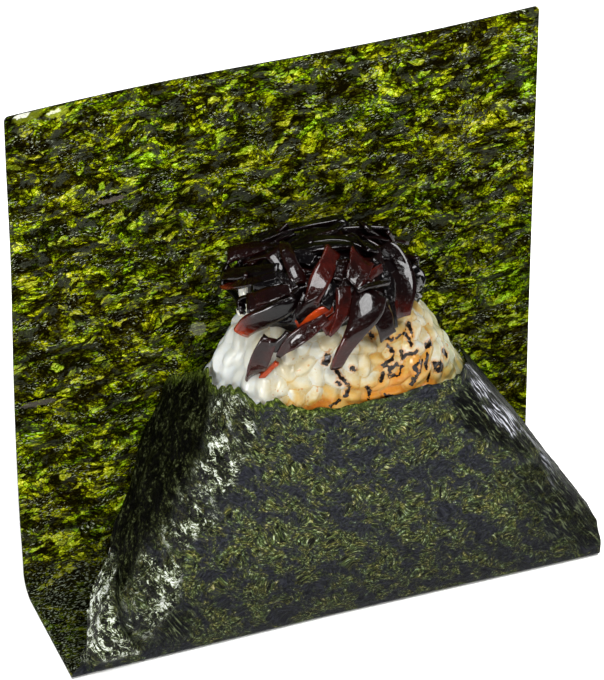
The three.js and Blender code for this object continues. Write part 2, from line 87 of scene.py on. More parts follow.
# The slanted planes that the sheet's wings lie in: where each meets the ground across the
# front, its slope, the share of the wing's length that its gathers leave, and the radii of
# its crease and of its curl behind the ball, with where each changes along the plane.
LEFT = {
    "foot": -49.5,
    "slope": math.radians(60),
    "share": 0.68,
    "round": (0.7, 8.0),
    "round_by": 32.0,
    "curl": (9.7, 60.0),
    "curl_over": (26.0, 46.0),
}
RIGHT = {
    "foot": 60.3,
    "slope": math.radians(57.5),
    "share": 1.0,
    "round": (3.0, 5.0),
    "round_by": 42.0,
    "curl": (90.0, 90.0),
    "curl_over": (26.0, 46.0),
}
SHEET = {
    "width": 105.0,
    "length": 186.4,
    "solid_thickness": 0.6,
    "flap": 50.0,
    "depth": 28.8,
    "fold_radius": 1.2,
    "bend_radius": 4.2,
    "corner_left": -51.9,
    "corner_right": 55.3,
    "skew": 0.02,
    "corner_radius": 1.0,
}
BALL = {
    "back": 8.7,
    "apex_radius": 23.0,
    "corner_radius": 12.0,
    "front_edge": 9.0,
    "back_edge": 9.0,
    "bulge": 2.5,
    "bulge_reach": 10.0,
}
# The gap between the ball and the sheet's inner face, half of the solid sheet's thickness,
# and the planes that the flap and the panel lie in.
CLEARANCE = 0.35
SKIN = SHEET["solid_thickness"] / 2
FRONT_Y = -SHEET["depth"] / 2
BACK_Y = SHEET["depth"] / 2
# The mound that the kelp strips lie on, and the dark core inside it.
MOUND_CENTRE = np.array([2.4, -3.2, 63.6])
MOUND_REACH = np.array([19.3, 14.8, 16.6])
MOUND_CORE_CENTRE = np.array([3.0, -1.8, 69.0])
MOUND_CORE_REACH = np.array([14.5, 10.5, 9.0])


# ---- helpers ----


def lerp(a, b, k):
    """The value a share k of the way from a to b."""
    return a + (b - a) * k


def smooth_step(start, end, x):
    """Rises smoothly from 0 at the start to 1 at the end, which may be the lower one."""
    k = np.clip((x - start) / (end - start), 0, 1)
    return k * k * (3 - 2 * k)


def unit(v):
    """Vectors of length 1 with the same directions."""
    return v / np.maximum(np.linalg.norm(v, axis=-1, keepdims=True), 1e-9)


def noise_at(points, size, seed=0):
    """Smooth noise from about -1 to 1, with features of the given size, at each point."""
    flat = np.asarray(points, float).reshape(-1, points.shape[-1]) / size
    if flat.shape[1] == 2:
        flat = np.column_stack([flat, np.zeros(len(flat))])
    values = [noise.noise(Vector(p)) for p in flat + seed * 7.31]
    return np.array(values).reshape(points.shape[:-1])


def new_mesh(name, points, faces):
    """A mesh in metres from points in millimetres."""
    mesh = bpy.data.meshes.new(name)
    mesh.from_pydata((np.asarray(points) * MM).tolist(), [], faces)
    mesh.validate()
    mesh.shade_smooth()
    return mesh


def new_piece(name, mesh):
    """An object with the mesh, in the scene."""
    piece = bpy.data.objects.new(name, mesh)
    bpy.context.scene.collection.objects.link(piece)
    return piece


def store(mesh, name, values):
    """Keeps one number for each point of a mesh."""
    attribute = mesh.attributes.new(name, "FLOAT", "POINT")
    attribute.data.foreach_set("value", np.asarray(values, np.float32).ravel())


def settle(piece, node):
    """Hangs a finished piece on the solid's body in the place of its node."""
    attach(piece, "root")
    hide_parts(node)


def plain_copy(piece, name):
    """The piece with its modifiers made into a plain mesh."""
    graph = bpy.context.evaluated_depsgraph_get()
    mesh = bpy.data.meshes.new_from_object(piece.evaluated_get(graph))
    mesh.name = name
    return mesh


def read(items, name, width, kind=np.float32):
    """One property of every item of a mesh, as rows of the given width."""
    values = np.empty(len(items) * width, kind)
    items.foreach_get(name, values)
    return values.reshape(-1, width)


def points_of(mesh):
    """The places of a mesh's points, in millimetres."""
    return read(mesh.vertices, "co", 3).astype(float) / MM


def set_points(mesh, points):
    """Moves a mesh's points to places in millimetres."""
    mesh.vertices.foreach_set("co", (points * MM).astype(np.float32).ravel())
    mesh.update()


def paint(colour):
    """What a colour input takes: a node, an sRGB hex colour or a colour from the settings."""
    if isinstance(colour, int):
        return linear(colour)
    if isinstance(colour, (bpy.types.Node, bpy.types.NodeSocket)):
        return colour
    return (*colour, 1.0)


def socket(sockets, key):
    """A node's socket by number, or the one in use that has the name."""
    if isinstance(key, int):
        return sockets[key]
    return next(s for s in sockets if s.name == key and s.enabled)


def feed(tree, node, values):
    """Sets a node's inputs to values, or links them to other nodes or to their outputs."""
    for key, value in values.items():
        target = socket(node.inputs, key)
        if isinstance(value, bpy.types.Node):
            value = next(s for s in value.outputs if s.enabled)
        if isinstance(value, bpy.types.NodeSocket):
            tree.links.new(value, target)
        else:
            target.default_value = value


def add(tree, kind, inputs=None, ramp=None, **settings):
    """Adds a node with its settings, its values and its links."""
    node = tree.nodes.new(kind)
    for name, value in settings.items():
        setattr(node, name, value)
    if ramp:
        elements = node.color_ramp.elements
        while len(elements) < len(ramp):
            elements.new(0.5)
        for element, (place, colour) in zip(elements, ramp):
            element.position = place
            element.color = paint(colour)
    feed(tree, node, inputs or {})
    return node


# ---- ball: its outline ----


def ball_sides():
    """Outward normal in x and z, and distance, of the base, right and left sides."""
    gap = SKIN + CLEARANCE
    sides = [(np.array([0.0, -1.0]), -SKIN - gap)]
    for wing in (RIGHT, LEFT):
        away = np.sign(wing["foot"])
        normal = np.array([away * math.sin(wing["slope"]), math.cos(wing["slope"])])
        sides.append((normal, normal[0] * wing["foot"] - gap))
    return sides


def crossing(a, b, depth):
    """Where two sides cross when both are moved in by a depth."""
    return np.linalg.solve(np.array([a[0], b[0]]), np.array([a[1] - depth, b[1] - depth]))


LEAST_RADIUS = 0.8


def ball_corners(inset):
    """Centre, radius, start and sweep of the outline's three arcs, shrunk by inset."""
    sides = ball_sides()
    radii = [BALL["corner_radius"], BALL["apex_radius"], BALL["corner_radius"]]
    corners = []
    for i, full in enumerate(radii):
        before, after = sides[i], sides[(i + 1) % 3]
        radius = max(full - inset, LEAST_RADIUS)
        start = math.atan2(before[0][1], before[0][0])
        sweep = (math.atan2(after[0][1], after[0][0]) - start) % math.tau
        corners.append((crossing(before, after, radius + inset), radius, start, sweep))
    return corners


def outline(inset, arc_steps, side_steps):
    """The closed ring of outline points in x and z, shrunk by inset."""
    arcs = []
    for centre, radius, start, sweep in ball_corners(inset):
        angles = start + sweep * np.arange(arc_steps + 1) / arc_steps
        arcs.append(centre + radius * np.column_stack([np.cos(angles), np.sin(angles)]))
    ring = []
    for i, arc in enumerate(arcs):
        following = arcs[(i + 1) % 3][0]
        steps = np.arange(1, side_steps)[:, None] / side_steps
        ring += [arc, lerp(arc[-1], following, steps)]
    return np.vstack(ring)


def inset_at(x, z):
    """How far a place in the outline lies inside it."""
    point = np.stack([x, z], -1)
    sides = ball_sides()
    inside = [distance - point @ normal for normal, distance in sides]
    centre, radius, start, sweep = ball_corners(0)[1]
    from_apex = point - centre
    first = np.array([math.cos(start), math.sin(start)])
    last = np.array([math.cos(start + sweep), math.sin(start + sweep)])
    after_first = first[0] * from_apex[..., 1] - first[1] * from_apex[..., 0] > 0
    before_last = from_apex[..., 0] * last[1] - from_apex[..., 1] * last[0] > 0
    round_inset = np.minimum(inside[0], radius - np.linalg.norm(from_apex, axis=-1))
    return np.where(after_first & before_last, round_inset, np.minimum.reduce(inside))


def swell(x, z):
    """The swell of the front face: nothing along its sides, most in the middle."""
    point = np.stack([x, z], -1)
    share = BALL["bulge"]
    for normal, distance in ball_sides():
        inside = np.maximum(0, distance - point @ normal)
        share = share * (1 - np.exp(-inside / BALL["bulge_reach"]))
    return share


def edge_drop(radius, inset):
    """How far a rounded edge lies behind its flat face."""
    short = np.maximum(0, radius - inset)
    return radius - np.sqrt(np.maximum(0, radius**2 - short**2))


def front_at(x, z, inset):
    """The ball's front face, rounded off along its edge and swelled in the middle."""
    face = FRONT_Y + SKIN + CLEARANCE
    return face + edge_drop(BALL["front_edge"], inset) - swell(x, z)


def back_at(inset):
    """The ball's flat back face, rounded off along its edge."""
    return BALL["back"] - edge_drop(BALL["back_edge"], inset)


ARC_STEPS = 12
SIDE_STEPS = 14
FRONT_INSETS = (24, 21, 18, 15, 12, 9.5, 7.5, 6, 4.7, 3.6, 2.6, 1.8, 1.1, 0.5, 0.1)
BACK_INSETS = (0.1, 0.5, 1.1, 1.8, 2.6, 3.6, 4.7, 6, 7.5, 9.5, 13, 17, 21)


def ball_core():
    """Points and faces of the pressed ball, from rings over its front, edge and back."""
    rings = []
    for inset in FRONT_INSETS:
        ring = outline(inset, ARC_STEPS, SIDE_STEPS)
        y = front_at(ring[:, 0], ring[:, 1], inset)
        rings.append(np.column_stack([ring[:, 0], y, ring[:, 1]]))
    for inset in BACK_INSETS:
        ring = outline(inset, ARC_STEPS, SIDE_STEPS)
        y = np.full(len(ring), back_at(inset))
        rings.append(np.column_stack([ring[:, 0], y, ring[:, 1]]))
    count = len(rings[0])
    points = np.vstack([rings[0].mean(0), *rings, rings[-1].mean(0)])
    points[0, 1] = rings[0][:, 1].min()
    last = len(rings) - 1

    def at(r, i):
        return 1 + r * count + i % count

    faces = []
    for i in range(count):
        faces.append((0, at(0, i), at(0, i + 1)))
        faces.append((len(points) - 1, at(last, i + 1), at(last, i)))
        for r in range(last):
            faces.append((at(r, i), at(r + 1, i), at(r + 1, i + 1), at(r, i + 1)))
    return points, faces


# ---- seaweed sheet ----

# How the flap is pulled up towards its left end, and the low pleat in its left wing.
PULL = {"start": 2.0, "end": -30.0, "rise": 9.5}
PLEAT = {"across": -44.0, "up": 11.0, "half_width": 7.0, "half_height": 11.0, "lift": 1.5}
# The flap's free edge: its rags by depth, size and seed, and its tears by where they are
# across it, how wide, and how far up or down.
RAGS = [(0.5, 4.5, 3.0), (0.45, 1.9, 5.0)]
FINE_RAGS = {"size": 0.9, "seed": 9.0, "right": 0.5, "left": 0.8}
TEARS = [(-24.5, 4.6, -4.2), (-14.6, 2.2, -1.6), (-11.0, 1.6, 1.1)]
# The crumpled band of the left side and the crumpled ear beyond it, by height on the flap:
# where each starts and ends across it.
CREASE = {
    "heights": (8, 15, 25, 32, 48),
    "left": (-40.0, -38.5, -33.5, -28.5, -22.5),
    "right": (-35.0, -31.0, -29.5, -22.5, -15.5),
}
OUTER = {
    "heights": (3.4, 4.2, 6.6, 9.5, 13.1, 18.5, 21, 25),
    "right": (-38.5, -38.8, -40.4, -41.8, -42.6, -43.9, -46.0, -49.0),
}
# A patch of painted shadow low on the left of the flap, right of the ear.
PAINTED_SHADOW = {"across": -31.5, "up": 8.0, "half_width": 4.2, "half_height": 4.5}
# The strands by the right crease, painted pale as a sheen, by length down the flap: where they start
# across it.
STRANDS = {
    "down": (0, 5, 10, 12, 15, 18, 20, 24),
    "left": (28.5, 28.8, 30.2, 31.8, 34.4, 38.0, 40.6, 44.2),
}
# The small gathers of the left wing past its crease, and the waves of the tall panel.
GATHER = {"depth": 0.35, "start": 3.0, "across": 3.1, "up": 2.6}
WAVES = {
    "top_depth": 0.9,
    "top_middle": -26.0,
    "top_length": 17.0,
    "side_depth": 1.3,
    "side_middle": 34.0,
    "side_length": 22.0,
    "lean": 0.35,
}
FOLD_ARC = math.pi / 2 * SHEET["fold_radius"]
BEND_ARC = math.pi / 2 * SHEET["bend_radius"]
FLOOR_RUN = SHEET["depth"] - SHEET["fold_radius"] - SHEET["bend_radius"]
FLOOR_AT = SHEET["flap"] + FOLD_ARC
BEND_AT = FLOOR_AT + FLOOR_RUN
PANEL_AT = BEND_AT + BEND_ARC


def ragged(x):
    """How far the torn-looking free edge of the flap stands above or below its line."""
    line = np.stack([x, np.zeros_like(x)], -1)
    coarse = sum(depth * noise_at(line, size, seed) for depth, size, seed in RAGS)
    depth = FINE_RAGS["right"] + FINE_RAGS["left"] * smooth_step(4, -4, x)
    fine = depth * noise_at(line, FINE_RAGS["size"], FINE_RAGS["seed"])
    tears = sum(depth * np.exp(-(((x - at) / reach) ** 2)) for at, reach, depth in TEARS)
    return coarse + fine + tears


def flap_height(x):
    """The height of the flap's free edge along the flap, higher towards its left end."""
    return SHEET["flap"] + PULL["rise"] * smooth_step(PULL["start"], PULL["end"], x)


def wrap_side(x, h, wing):
    """Wraps the flat front, x across and h up, round one slanted side."""
    away = np.sign(wing["foot"])
    slope = wing["slope"]
    along = (-away * math.cos(slope), math.sin(slope))
    out = (away * math.sin(slope), math.cos(slope))
    dx = x - wing["foot"]
    p = dx * along[0] + h * along[1]
    q = dx * out[0] + h * out[1]
    radius = lerp(*wing["round"], smooth_step(0, wing["round_by"], p))
    arc = q + radius
    angle = np.clip(arc / radius, 0, math.pi / 2)
    past = np.maximum(0, arc - radius * math.pi / 2) * wing["share"]
    straight = BALL["back"] - BALL["back_edge"] - FRONT_Y - radius
    curl = lerp(*wing["curl"], smooth_step(*wing["curl_over"], p))
    turn = np.maximum(0, past - straight) / curl
    across = radius * (np.sin(angle) - 1) - curl * (1 - np.cos(turn))
    back = radius * (1 - np.cos(angle)) + np.minimum(past, straight) + curl * np.sin(turn)
    flat = arc <= 0
    return {
        "x": np.where(flat, x, wing["foot"] + along[0] * p + out[0] * across),
        "z": np.where(flat, h, along[1] * p + out[1] * across),
        "back": np.where(flat, 0, back),
        "past": past,
        "arc": arc,
        "out": out,
    }


def pleat_lift(x, h):
    """How far the low pleat stands up."""
    a = np.clip(1 - np.abs(x - PLEAT["across"]) / PLEAT["half_width"], 0, 1)
    b = np.clip(1 - np.abs(h - PLEAT["up"]) / PLEAT["half_height"], 0, 1)
    return PLEAT["lift"] * a * b


def gather_lift(x, h, past):
    """How far the small gathers past the left crease stand up."""
    fade = smooth_step(0, GATHER["start"], past)
    return GATHER["depth"] * fade * (1 + np.sin(h / GATHER["up"] + x / GATHER["across"]))


def panel_wave(x, z):
    """How far back the tall panel stands from its flat form."""
    free = smooth_step(64, 100, z)
    left = smooth_step(-30, -52, x) * smooth_step(4, 16, z) * (1 - free)
    lean = smooth_step(-20, 45, x) * smooth_step(12, 40, z)
    top = np.cos((x - WAVES["top_middle"]) / WAVES["top_length"])
    side = np.cos((z - WAVES["side_middle"]) / WAVES["side_length"])
    waves = WAVES["top_depth"] * free * top + WAVES["side_depth"] * left * side
    return waves + WAVES["lean"] * lean


def fold_y(x):
    """The front of the fold under the flap, which runs a little askew."""
    return FRONT_Y - SHEET["skew"] * np.maximum(0, x)


def flap_points(fold_x, t):
    """The flap and its two wings, and where each point lies by the creases."""
    up = 1 - t / SHEET["flap"]
    edge = flap_height(fold_x) + smooth_step(0.5, 1, up) * ragged(fold_x)
    h = SHEET["fold_radius"] + up * edge
    left, right = [wrap_side(fold_x, h, wing) for wing in (LEFT, RIGHT)]
    on_left = fold_x < 0
    x, z, back = [np.where(on_left, left[name], right[name]) for name in ("x", "z", "back")]
    out_x, out_z = [np.where(on_left, left["out"][i], right["out"][i]) for i in (0, 1)]
    pleat = pleat_lift(fold_x, h)
    lift = np.where(on_left, gather_lift(fold_x, h, left["past"]), 0) + pleat
    y = fold_y(x) - swell(x, z) + back - pleat
    points = np.stack([x + out_x * lift, y, SKIN + z + out_z * lift], -1)
    return points, {"h": h, "arc_left": left["arc"], "arc_right": right["arc"]}


def corner_cut(t):
    """How far the rounded corners of the free end draw the edge in."""
    r = SHEET["corner_radius"]
    k = np.clip(t - (SHEET["length"] - r), 0, r)
    return r - np.sqrt(np.maximum(r * r - k * k, 0))


def sheet_points(s, t):
    """The sheet's middle surface. s is the place across it and t the length along it."""
    fold_x = lerp(SHEET["corner_left"], SHEET["corner_right"], s + 0.5)
    panel_x = s * (SHEET["width"] - 1 - 2 * corner_cut(t))
    flap, places = flap_points(fold_x, np.minimum(t, SHEET["flap"]))
    turn = np.clip((t - SHEET["flap"]) / SHEET["fold_radius"], 0, math.pi / 2)
    r = SHEET["fold_radius"]
    fold = np.stack(
        [fold_x, fold_y(fold_x) + r * (1 - np.cos(turn)), SKIN + r * (1 - np.sin(turn))], -1
    )
    x = lerp(fold_x, panel_x, smooth_step(SHEET["flap"], BEND_AT, t))
    run = np.clip((t - FLOOR_AT) / FLOOR_RUN, 0, 1)
    floor_y = lerp(fold_y(fold_x) + r, BACK_Y - SHEET["bend_radius"], run)
    floor = np.stack([x, floor_y, np.full_like(x, SKIN)], -1)
    turn = np.clip((t - BEND_AT) / SHEET["bend_radius"], 0, math.pi / 2)
    r = SHEET["bend_radius"]
    bend = np.stack([x, BACK_Y - r * (1 - np.sin(turn)), SKIN + r * (1 - np.cos(turn))], -1)
    z = SKIN + r + t - PANEL_AT
    panel = np.stack([x, BACK_Y + panel_wave(x, z), z], -1)
    stage = np.digitize(t, [SHEET["flap"], FLOOR_AT, BEND_AT, PANEL_AT])[..., None]
    stretches = [flap, fold, floor, bend]
    points = np.select([stage == i for i in range(len(stretches))], stretches, panel)
    return points, places


def grid_normals(points):
    """The sheet's normals, which point to its inner side."""
    across = np.gradient(points, axis=1)
    along = np.gradient(points, axis=0)
    return unit(np.cross(across, along))


def folds(place, size, seed):
    """Sharp ridges between smooth hollows, from about -1 to 1."""
    return 1 - 4.2 * np.abs(noise_at(place, size, seed))


def left_bands(fold_x, h, left):
    """The crumpled band, the crumpled ear, and a painted shadow line just inside the ear."""
    sway = noise_at(np.stack([fold_x, h], -1), 5.0, 3.0)
    starts = np.interp(h, CREASE["heights"], CREASE["left"])
    ends = np.interp(h, CREASE["heights"], CREASE["right"])
    band = smooth_step(starts - 4.0, starts + 2.0, fold_x + 2.5 * sway)
    band *= smooth_step(ends + 0.5, ends - 0.5, fold_x + 0.8 * sway)
    band *= left * smooth_step(4, 9, h)
    ends = np.interp(h, OUTER["heights"], OUTER["right"])
    ear = smooth_step(ends + 0.4, ends - 0.4, fold_x + 0.4 * sway)
    low = left * smooth_step(26, 19, h) * smooth_step(2.0, 3.2, h)
    # Painted shadow: a thin dark line beside the ear's edge.
    behind = low * np.exp(-(((fold_x + 0.4 * sway - ends - 0.9) / 0.6) ** 2))
    return band, ear * low, behind


def strand_sheen_and_comb_shade(fold_x, t, on_flap, near, arc):
    """By the right crease: the skin drawn into strands, which are painted pale as a sheen, and the comb
    of painted shade beside them.
    """
    slanted = np.stack([0.875 * fold_x - 0.485 * t, 0.06 * fold_x + 0.11 * t], -1)
    starts = np.interp(t, STRANDS["down"], STRANDS["left"]) + 3.0 * noise_at(slanted, 1.3, 6.0)
    strands = near * smooth_step(starts - 0.5, starts + 0.7, fold_x) * smooth_step(34, 18, t)
    strands *= smooth_step(9, 5, arc)
    comb_shade = on_flap * smooth_step(starts - 6.5, starts - 3.0, fold_x) * smooth_step(27, 20, t)
    comb_shade = np.maximum(comb_shade * smooth_step(1, 4, t), 0.8 * near * smooth_step(22, 27, t))
    return strands, comb_shade


def crumple(fold_x, places, t):
    """How far the moist sheet stands off its smooth form, how crumpled it is there, and where painted
    shade and painted sheen go on it.
    """
    h = places["h"]
    arc = places["arc_right"]
    on_flap = smooth_step(SHEET["flap"] - 0.5, SHEET["flap"] - 3, t)
    left = on_flap * (fold_x < 5)
    band, ear, behind = left_bands(fold_x, h, left)
    wing = left * smooth_step(2, 8, places["arc_left"]) * (1 - band) * (1 - ear)
    right = on_flap * (fold_x > 5) * smooth_step(-10, 1, arc)
    right_wing = on_flap * (fold_x > 5) * smooth_step(5, 9, arc)
    strands, comb_shade = strand_sheen_and_comb_shade(fold_x, t, on_flap, right, arc)
    # The painted shadow low on the left and the painted shadow line by the ear join the comb's painted
    # shade.
    aside = (fold_x - PAINTED_SHADOW["across"]) / PAINTED_SHADOW["half_width"]
    above = (h - PAINTED_SHADOW["up"]) / PAINTED_SHADOW["half_height"]
    painted_shadow = left * np.exp(-(aside**2) - above**2)
    comb_shade = np.maximum(comb_shade, np.maximum(0.9 * painted_shadow, 0.8 * behind))
    place = np.stack([fold_x, h], -1)
    rough = 0.5 * folds(place, 4.6, 1.0) + 0.45 * noise_at(place, 2.6, 2.0)
    rough += 0.3 * folds(place, 1.9, 5.0)
    upright = folds(np.stack([fold_x, h * 0.3], -1), 3.0, 4.0)
    along_crease = np.stack([fold_x + 0.62 * h, h * 0.16], -1)
    edge = smooth_step(0, 3.5, t)
    patchy = noise_at(place, 6.0, 14.0)
    lift = (
        band * (0.5 + 0.85 * rough)
        + ear * (0.9 + 0.75 * rough)
        + wing * (0.25 * upright + 0.15 * rough)
        + right * 0.16 * folds(along_crease, 1.9, 11.0)
        + on_flap * 0.16 * noise_at(place, 9, 12.0)
    )
    return lift * edge, {
        "crumpled": np.clip(band * (0.3 + 0.7 * smooth_step(-0.4, 0.05, patchy)) + ear, 0, 1),
        "eared": np.clip(ear, 0, 1),
        "winged": np.clip(wing + right_wing, 0, 1),
        "streaked": strands,
        "combed": comb_shade * (1 - strands),
    }


# How many stations and columns the sheet's stretches have, and how near the free end the
# last stations lie, for its rounded corners.
STATIONS = [
    (SHEET["flap"], 118),
    (FOLD_ARC, 5),
    (FLOOR_RUN, 22),
    (BEND_ARC, 9),
    (SHEET["length"] - PANEL_AT, 72),
]
COLUMNS = [(-11.0, 106), (26.0, 40), (SHEET["corner_right"], 62)]
LAST_STATIONS = (1.05, 0.8, 0.5, 0.25, 0.08, 0)


def sheet_stations():
    """Places along the sheet, closer together on the flap and round its bends."""
    stations, start = [0.0], 0.0
    for length, count in STATIONS:
        stations += [start + length * (i + 1) / count for i in range(count)]
        start += length
    return np.array(stations[:-1] + [SHEET["length"] - step for step in LAST_STATIONS])


def sheet_columns():
    """Places across the sheet from -0.5 to 0.5, closer together where it is creased."""
    across = [SHEET["corner_left"]]
    for until, count in COLUMNS:
        across += np.linspace(across[-1], until, count + 1)[1:].tolist()
    across = np.array(across)
    return (across - across[0]) / (across[-1] - across[0]) - 0.5


def sheet_mesh(thickness, wrinkle):
    """Both faces of the sheet on one grid, joined by a rim round the edge."""
    t, s = np.meshgrid(sheet_stations(), sheet_columns(), indexing="ij")
    points, places = sheet_points(s, t)
    fold_x = lerp(SHEET["corner_left"], SHEET["corner_right"], s + 0.5)
    lift, looks = crumple(fold_x, places, t)
    normals = grid_normals(points)
    points = points - normals * (lift * wrinkle)[..., None]
    points[..., 2] = np.maximum(points[..., 2], SKIN)
    normals = grid_normals(points)
    rows, columns = t.shape
    count = rows * columns
    inner = (points + normals * thickness / 2).reshape(-1, 3)
    outer = (points - normals * thickness / 2).reshape(-1, 3)
    index = np.arange(count).reshape(rows, columns)
    a, b, c, d = index[:-1, :-1], index[:-1, 1:], index[1:, 1:], index[1:, :-1]
    inside = np.stack([a, b, c, d], -1).reshape(-1, 4)
    outside = np.stack([a, d, c, b], -1).reshape(-1, 4) + count
    edge = np.concatenate([index[0, :], index[1:, -1], index[-1, -2::-1], index[-2:0:-1, 0]])
    following = np.roll(edge, -1)
    rim = np.stack([following, edge, edge + count, following + count], -1)
    faces = np.vstack([inside, outside, rim])
    mesh = new_mesh("seaweed_sheet", np.vstack([inner, outer]), faces.tolist())
    face_of = np.concatenate([np.zeros(len(inside)), np.ones(len(outside)), np.ones(len(rim))])
    mesh.polygons.foreach_set("material_index", face_of.astype(np.int32))
    place = np.stack([s + 0.5, t / SHEET["length"]], -1).reshape(-1, 2)
    place = np.vstack([place, place])
    corner = read(mesh.loops, "vertex_index", 1, np.int32).ravel()
    uv = mesh.uv_layers.new(name="leaf")
    uv.data.foreach_set("uv", place[corner].astype(np.float32).ravel())
    for name, values in looks.items():
        store(mesh, name, np.tile(values.ravel(), 2))
    return mesh


# ---- materials ----


def new_material(name):
    """A material with its node tree and its shader."""
    material = bpy.data.materials.new(name)
    material.use_nodes = True
    tree = material.node_tree
    return material, tree, tree.nodes["Principled BSDF"]


def leaf_place(tree):
    """The place on the leaf in millimetres, x across it and y along it."""
    uv = add(tree, "ShaderNodeUVMap", uv_map="leaf")
    scale = (SHEET["width"], SHEET["length"], 1)
    return add(tree, "ShaderNodeMapping", {"Vector": uv, "Scale": scale})


def solid_place(tree):
    """The place in the object in millimetres."""
    coords = add(tree, "ShaderNodeTexCoord").outputs["Object"]
    return add(tree, "ShaderNodeVectorMath", {0: coords, 1: (1 / MM,) * 3}, operation="MULTIPLY")


def drift(tree, place, size, reach):
    """The place moved about by smooth noise of the given size, by up to half of reach."""
    wander = add(
        tree,
        "ShaderNodeTexNoise",
        {"Vector": place, "Scale": 1 / size, "Detail": 1.0},
        noise_dimensions="2D",
    ).outputs["Color"]
    shift = add(tree, "ShaderNodeVectorMath", {0: wander, 1: (0.5, 0.5, 0.5)}, operation="SUBTRACT")
    return add(
        tree,
        "ShaderNodeVectorMath",
        {0: shift, 1: (reach, reach, 0), 2: place},
        operation="MULTIPLY_ADD",
    )


def laid_out(tree, place, size, turn, seed):
    """The place in a flat pattern whose features have a length and a width in millimetres."""
    return add(
        tree,
        "ShaderNodeMapping",
        {
            "Vector": place,
            "Location": (seed * 3.7, seed * 5.3, 0),
            "Rotation": (0, 0, turn),
            "Scale": (size[0], size[1], 1),
        },
        vector_type="TEXTURE",
    )


def patches(tree, place, size, turn=0.0, seed=0, detail=2, roughness=0.5):
    """Flat noise with features of a length and a width in millimetres, turned in the plane."""
    return add(
        tree,
        "ShaderNodeTexNoise",
        {
            "Vector": laid_out(tree, place, size, turn, seed),
            "Scale": 1.0,
            "Detail": detail,
            "Roughness": roughness,
        },
        noise_dimensions="2D",
    ).outputs[0]


def scraps(tree, place, size, turn, seed):
    """Flat angular scraps: three numbers that each one has, and how far its edge is."""
    laid = laid_out(tree, place, size, turn, seed)
    cells = add(tree, "ShaderNodeTexVoronoi", {"Vector": laid, "Scale": 1.0}, voronoi_dimensions="2D")
    edges = add(
        tree,
        "ShaderNodeTexVoronoi",
        {"Vector": laid, "Scale": 1.0},
        voronoi_dimensions="2D",
        feature="DISTANCE_TO_EDGE",
    )
    numbers = add(tree, "ShaderNodeSeparateColor", {0: cells.outputs["Color"]}).outputs
    return [*numbers, edges.outputs["Distance"]]


def weigh(tree, layers, start=0.0):
    """The sum of several values, each times its weight."""
    total = start
    for value, weight in layers:
        total = add(tree, "ShaderNodeMath", {0: value, 1: weight, 2: total}, operation="MULTIPLY_ADD")
    return total


def crest(tree, value):
    """How far a noise is from its middle value, which it crosses along thin winding lines."""
    off = add(tree, "ShaderNodeMath", {0: value, 1: 0.5}, operation="SUBTRACT")
    return add(tree, "ShaderNodeMath", {0: off}, operation="ABSOLUTE")


def where(tree, *tests):
    """The share, from 0 to 1, to which every value has passed from its start to its end."""
    share = None
    for value, start, end in tests:
        passed = add(
            tree,
            "ShaderNodeMapRange",
            {"Value": value, "From Min": start, "From Max": end},
            interpolation_type="SMOOTHSTEP",
        )
        if share is None:
            share = passed
        else:
            share = add(tree, "ShaderNodeMath", {0: share, 1: passed}, operation="MULTIPLY")
    return share


def lay_over(tree, under, over, share, most=1.0, blend="MIX"):
    """Lays a colour over another, or multiplies it in, by a share and up to the most."""
    amount = add(tree, "ShaderNodeMath", {0: share, 1: most}, operation="MULTIPLY")
    return add(
        tree,
        "ShaderNodeMix",
        {"Factor": amount, "A": paint(under), "B": paint(over)},
        data_type="RGBA",
        blend_type=blend,
    )


# Places on the mat side that differ: middle, half length and half width in millimetres on
# the leaf, turn, colour and how much of it shows.
PLACES = [
    # Near the top corner: white spots with green round them, painted light showing through holes and
    # thin leaf.
    ((4.6, 185.6), (3.0, 1.3), 0.1, 0x7C861A, 0.5),
    ((10.2, 184.9), (2.3, 1.0), 0.1, 0x98A42C, 0.55),
    ((3.1, 186.0), (1.5, 0.7), 0.0, 0xE6E8D4, 0.85),
    ((9.7, 185.2), (1.4, 0.45), 0.15, 0xDEE2C0, 0.85),
    ((36.5, 130.2), (1.9, 1.5), -0.8, 0x8E9078, 0.55),
    ((20.1, 163.3), (2.9, 0.55), 0.03, 0x565048, 0.9),
    ((20.3, 164.2), (3.2, 0.3), 0.03, 0x030301, 1.0),
    ((4.5, 120.4), (3.8, 0.7), 0.05, 0x45413B, 0.9),
    ((4.7, 121.5), (4.2, 0.32), 0.05, 0x030301, 1.0),
]
# How far the scraps and wisps stand off the leaf, in millimetres.
LEAF_RELIEF = 0.3


def with_places(tree, near, colour):
    """The colour with the leaf's single places laid over it."""
    for middle, reach, turn, own_colour, most in PLACES:
        laid = {
            "Vector": near,
            "Location": (*middle, 0),
            "Rotation": (0, 0, turn),
            "Scale": (*reach, 1),
        }
        own = add(tree, "ShaderNodeMapping", laid, vector_type="TEXTURE")
        away = add(tree, "ShaderNodeVectorMath", {0: own}, operation="LENGTH").outputs["Value"]
        colour = lay_over(tree, colour, own_colour, where(tree, (away, 1.1, 0.8)), most)
    return colour


def with_slate(tree, colour, bent, along, grit, chance):
    """The colour with slate-grey where the sheet is smooth, except on scraps by chance."""
    slate = lay_over(tree, 0x161811, 0x3E4135, grit)
    smooth = patches(tree, bent, (4.5, 2.8), turn=0.0, seed=13, detail=5, roughness=0.62)
    upper = {"Value": along, "From Min": 95.0, "From Max": 150.0, "To Min": 0.35}
    upper = add(tree, "ShaderNodeMapRange", upper)
    bare = where(tree, (smooth, 0.545, 0.60), (chance, 0.0, 0.4))
    bare = add(tree, "ShaderNodeMath", {0: bare, 1: upper}, operation="MULTIPLY")
    return lay_over(tree, colour, slate, bare, 0.85)


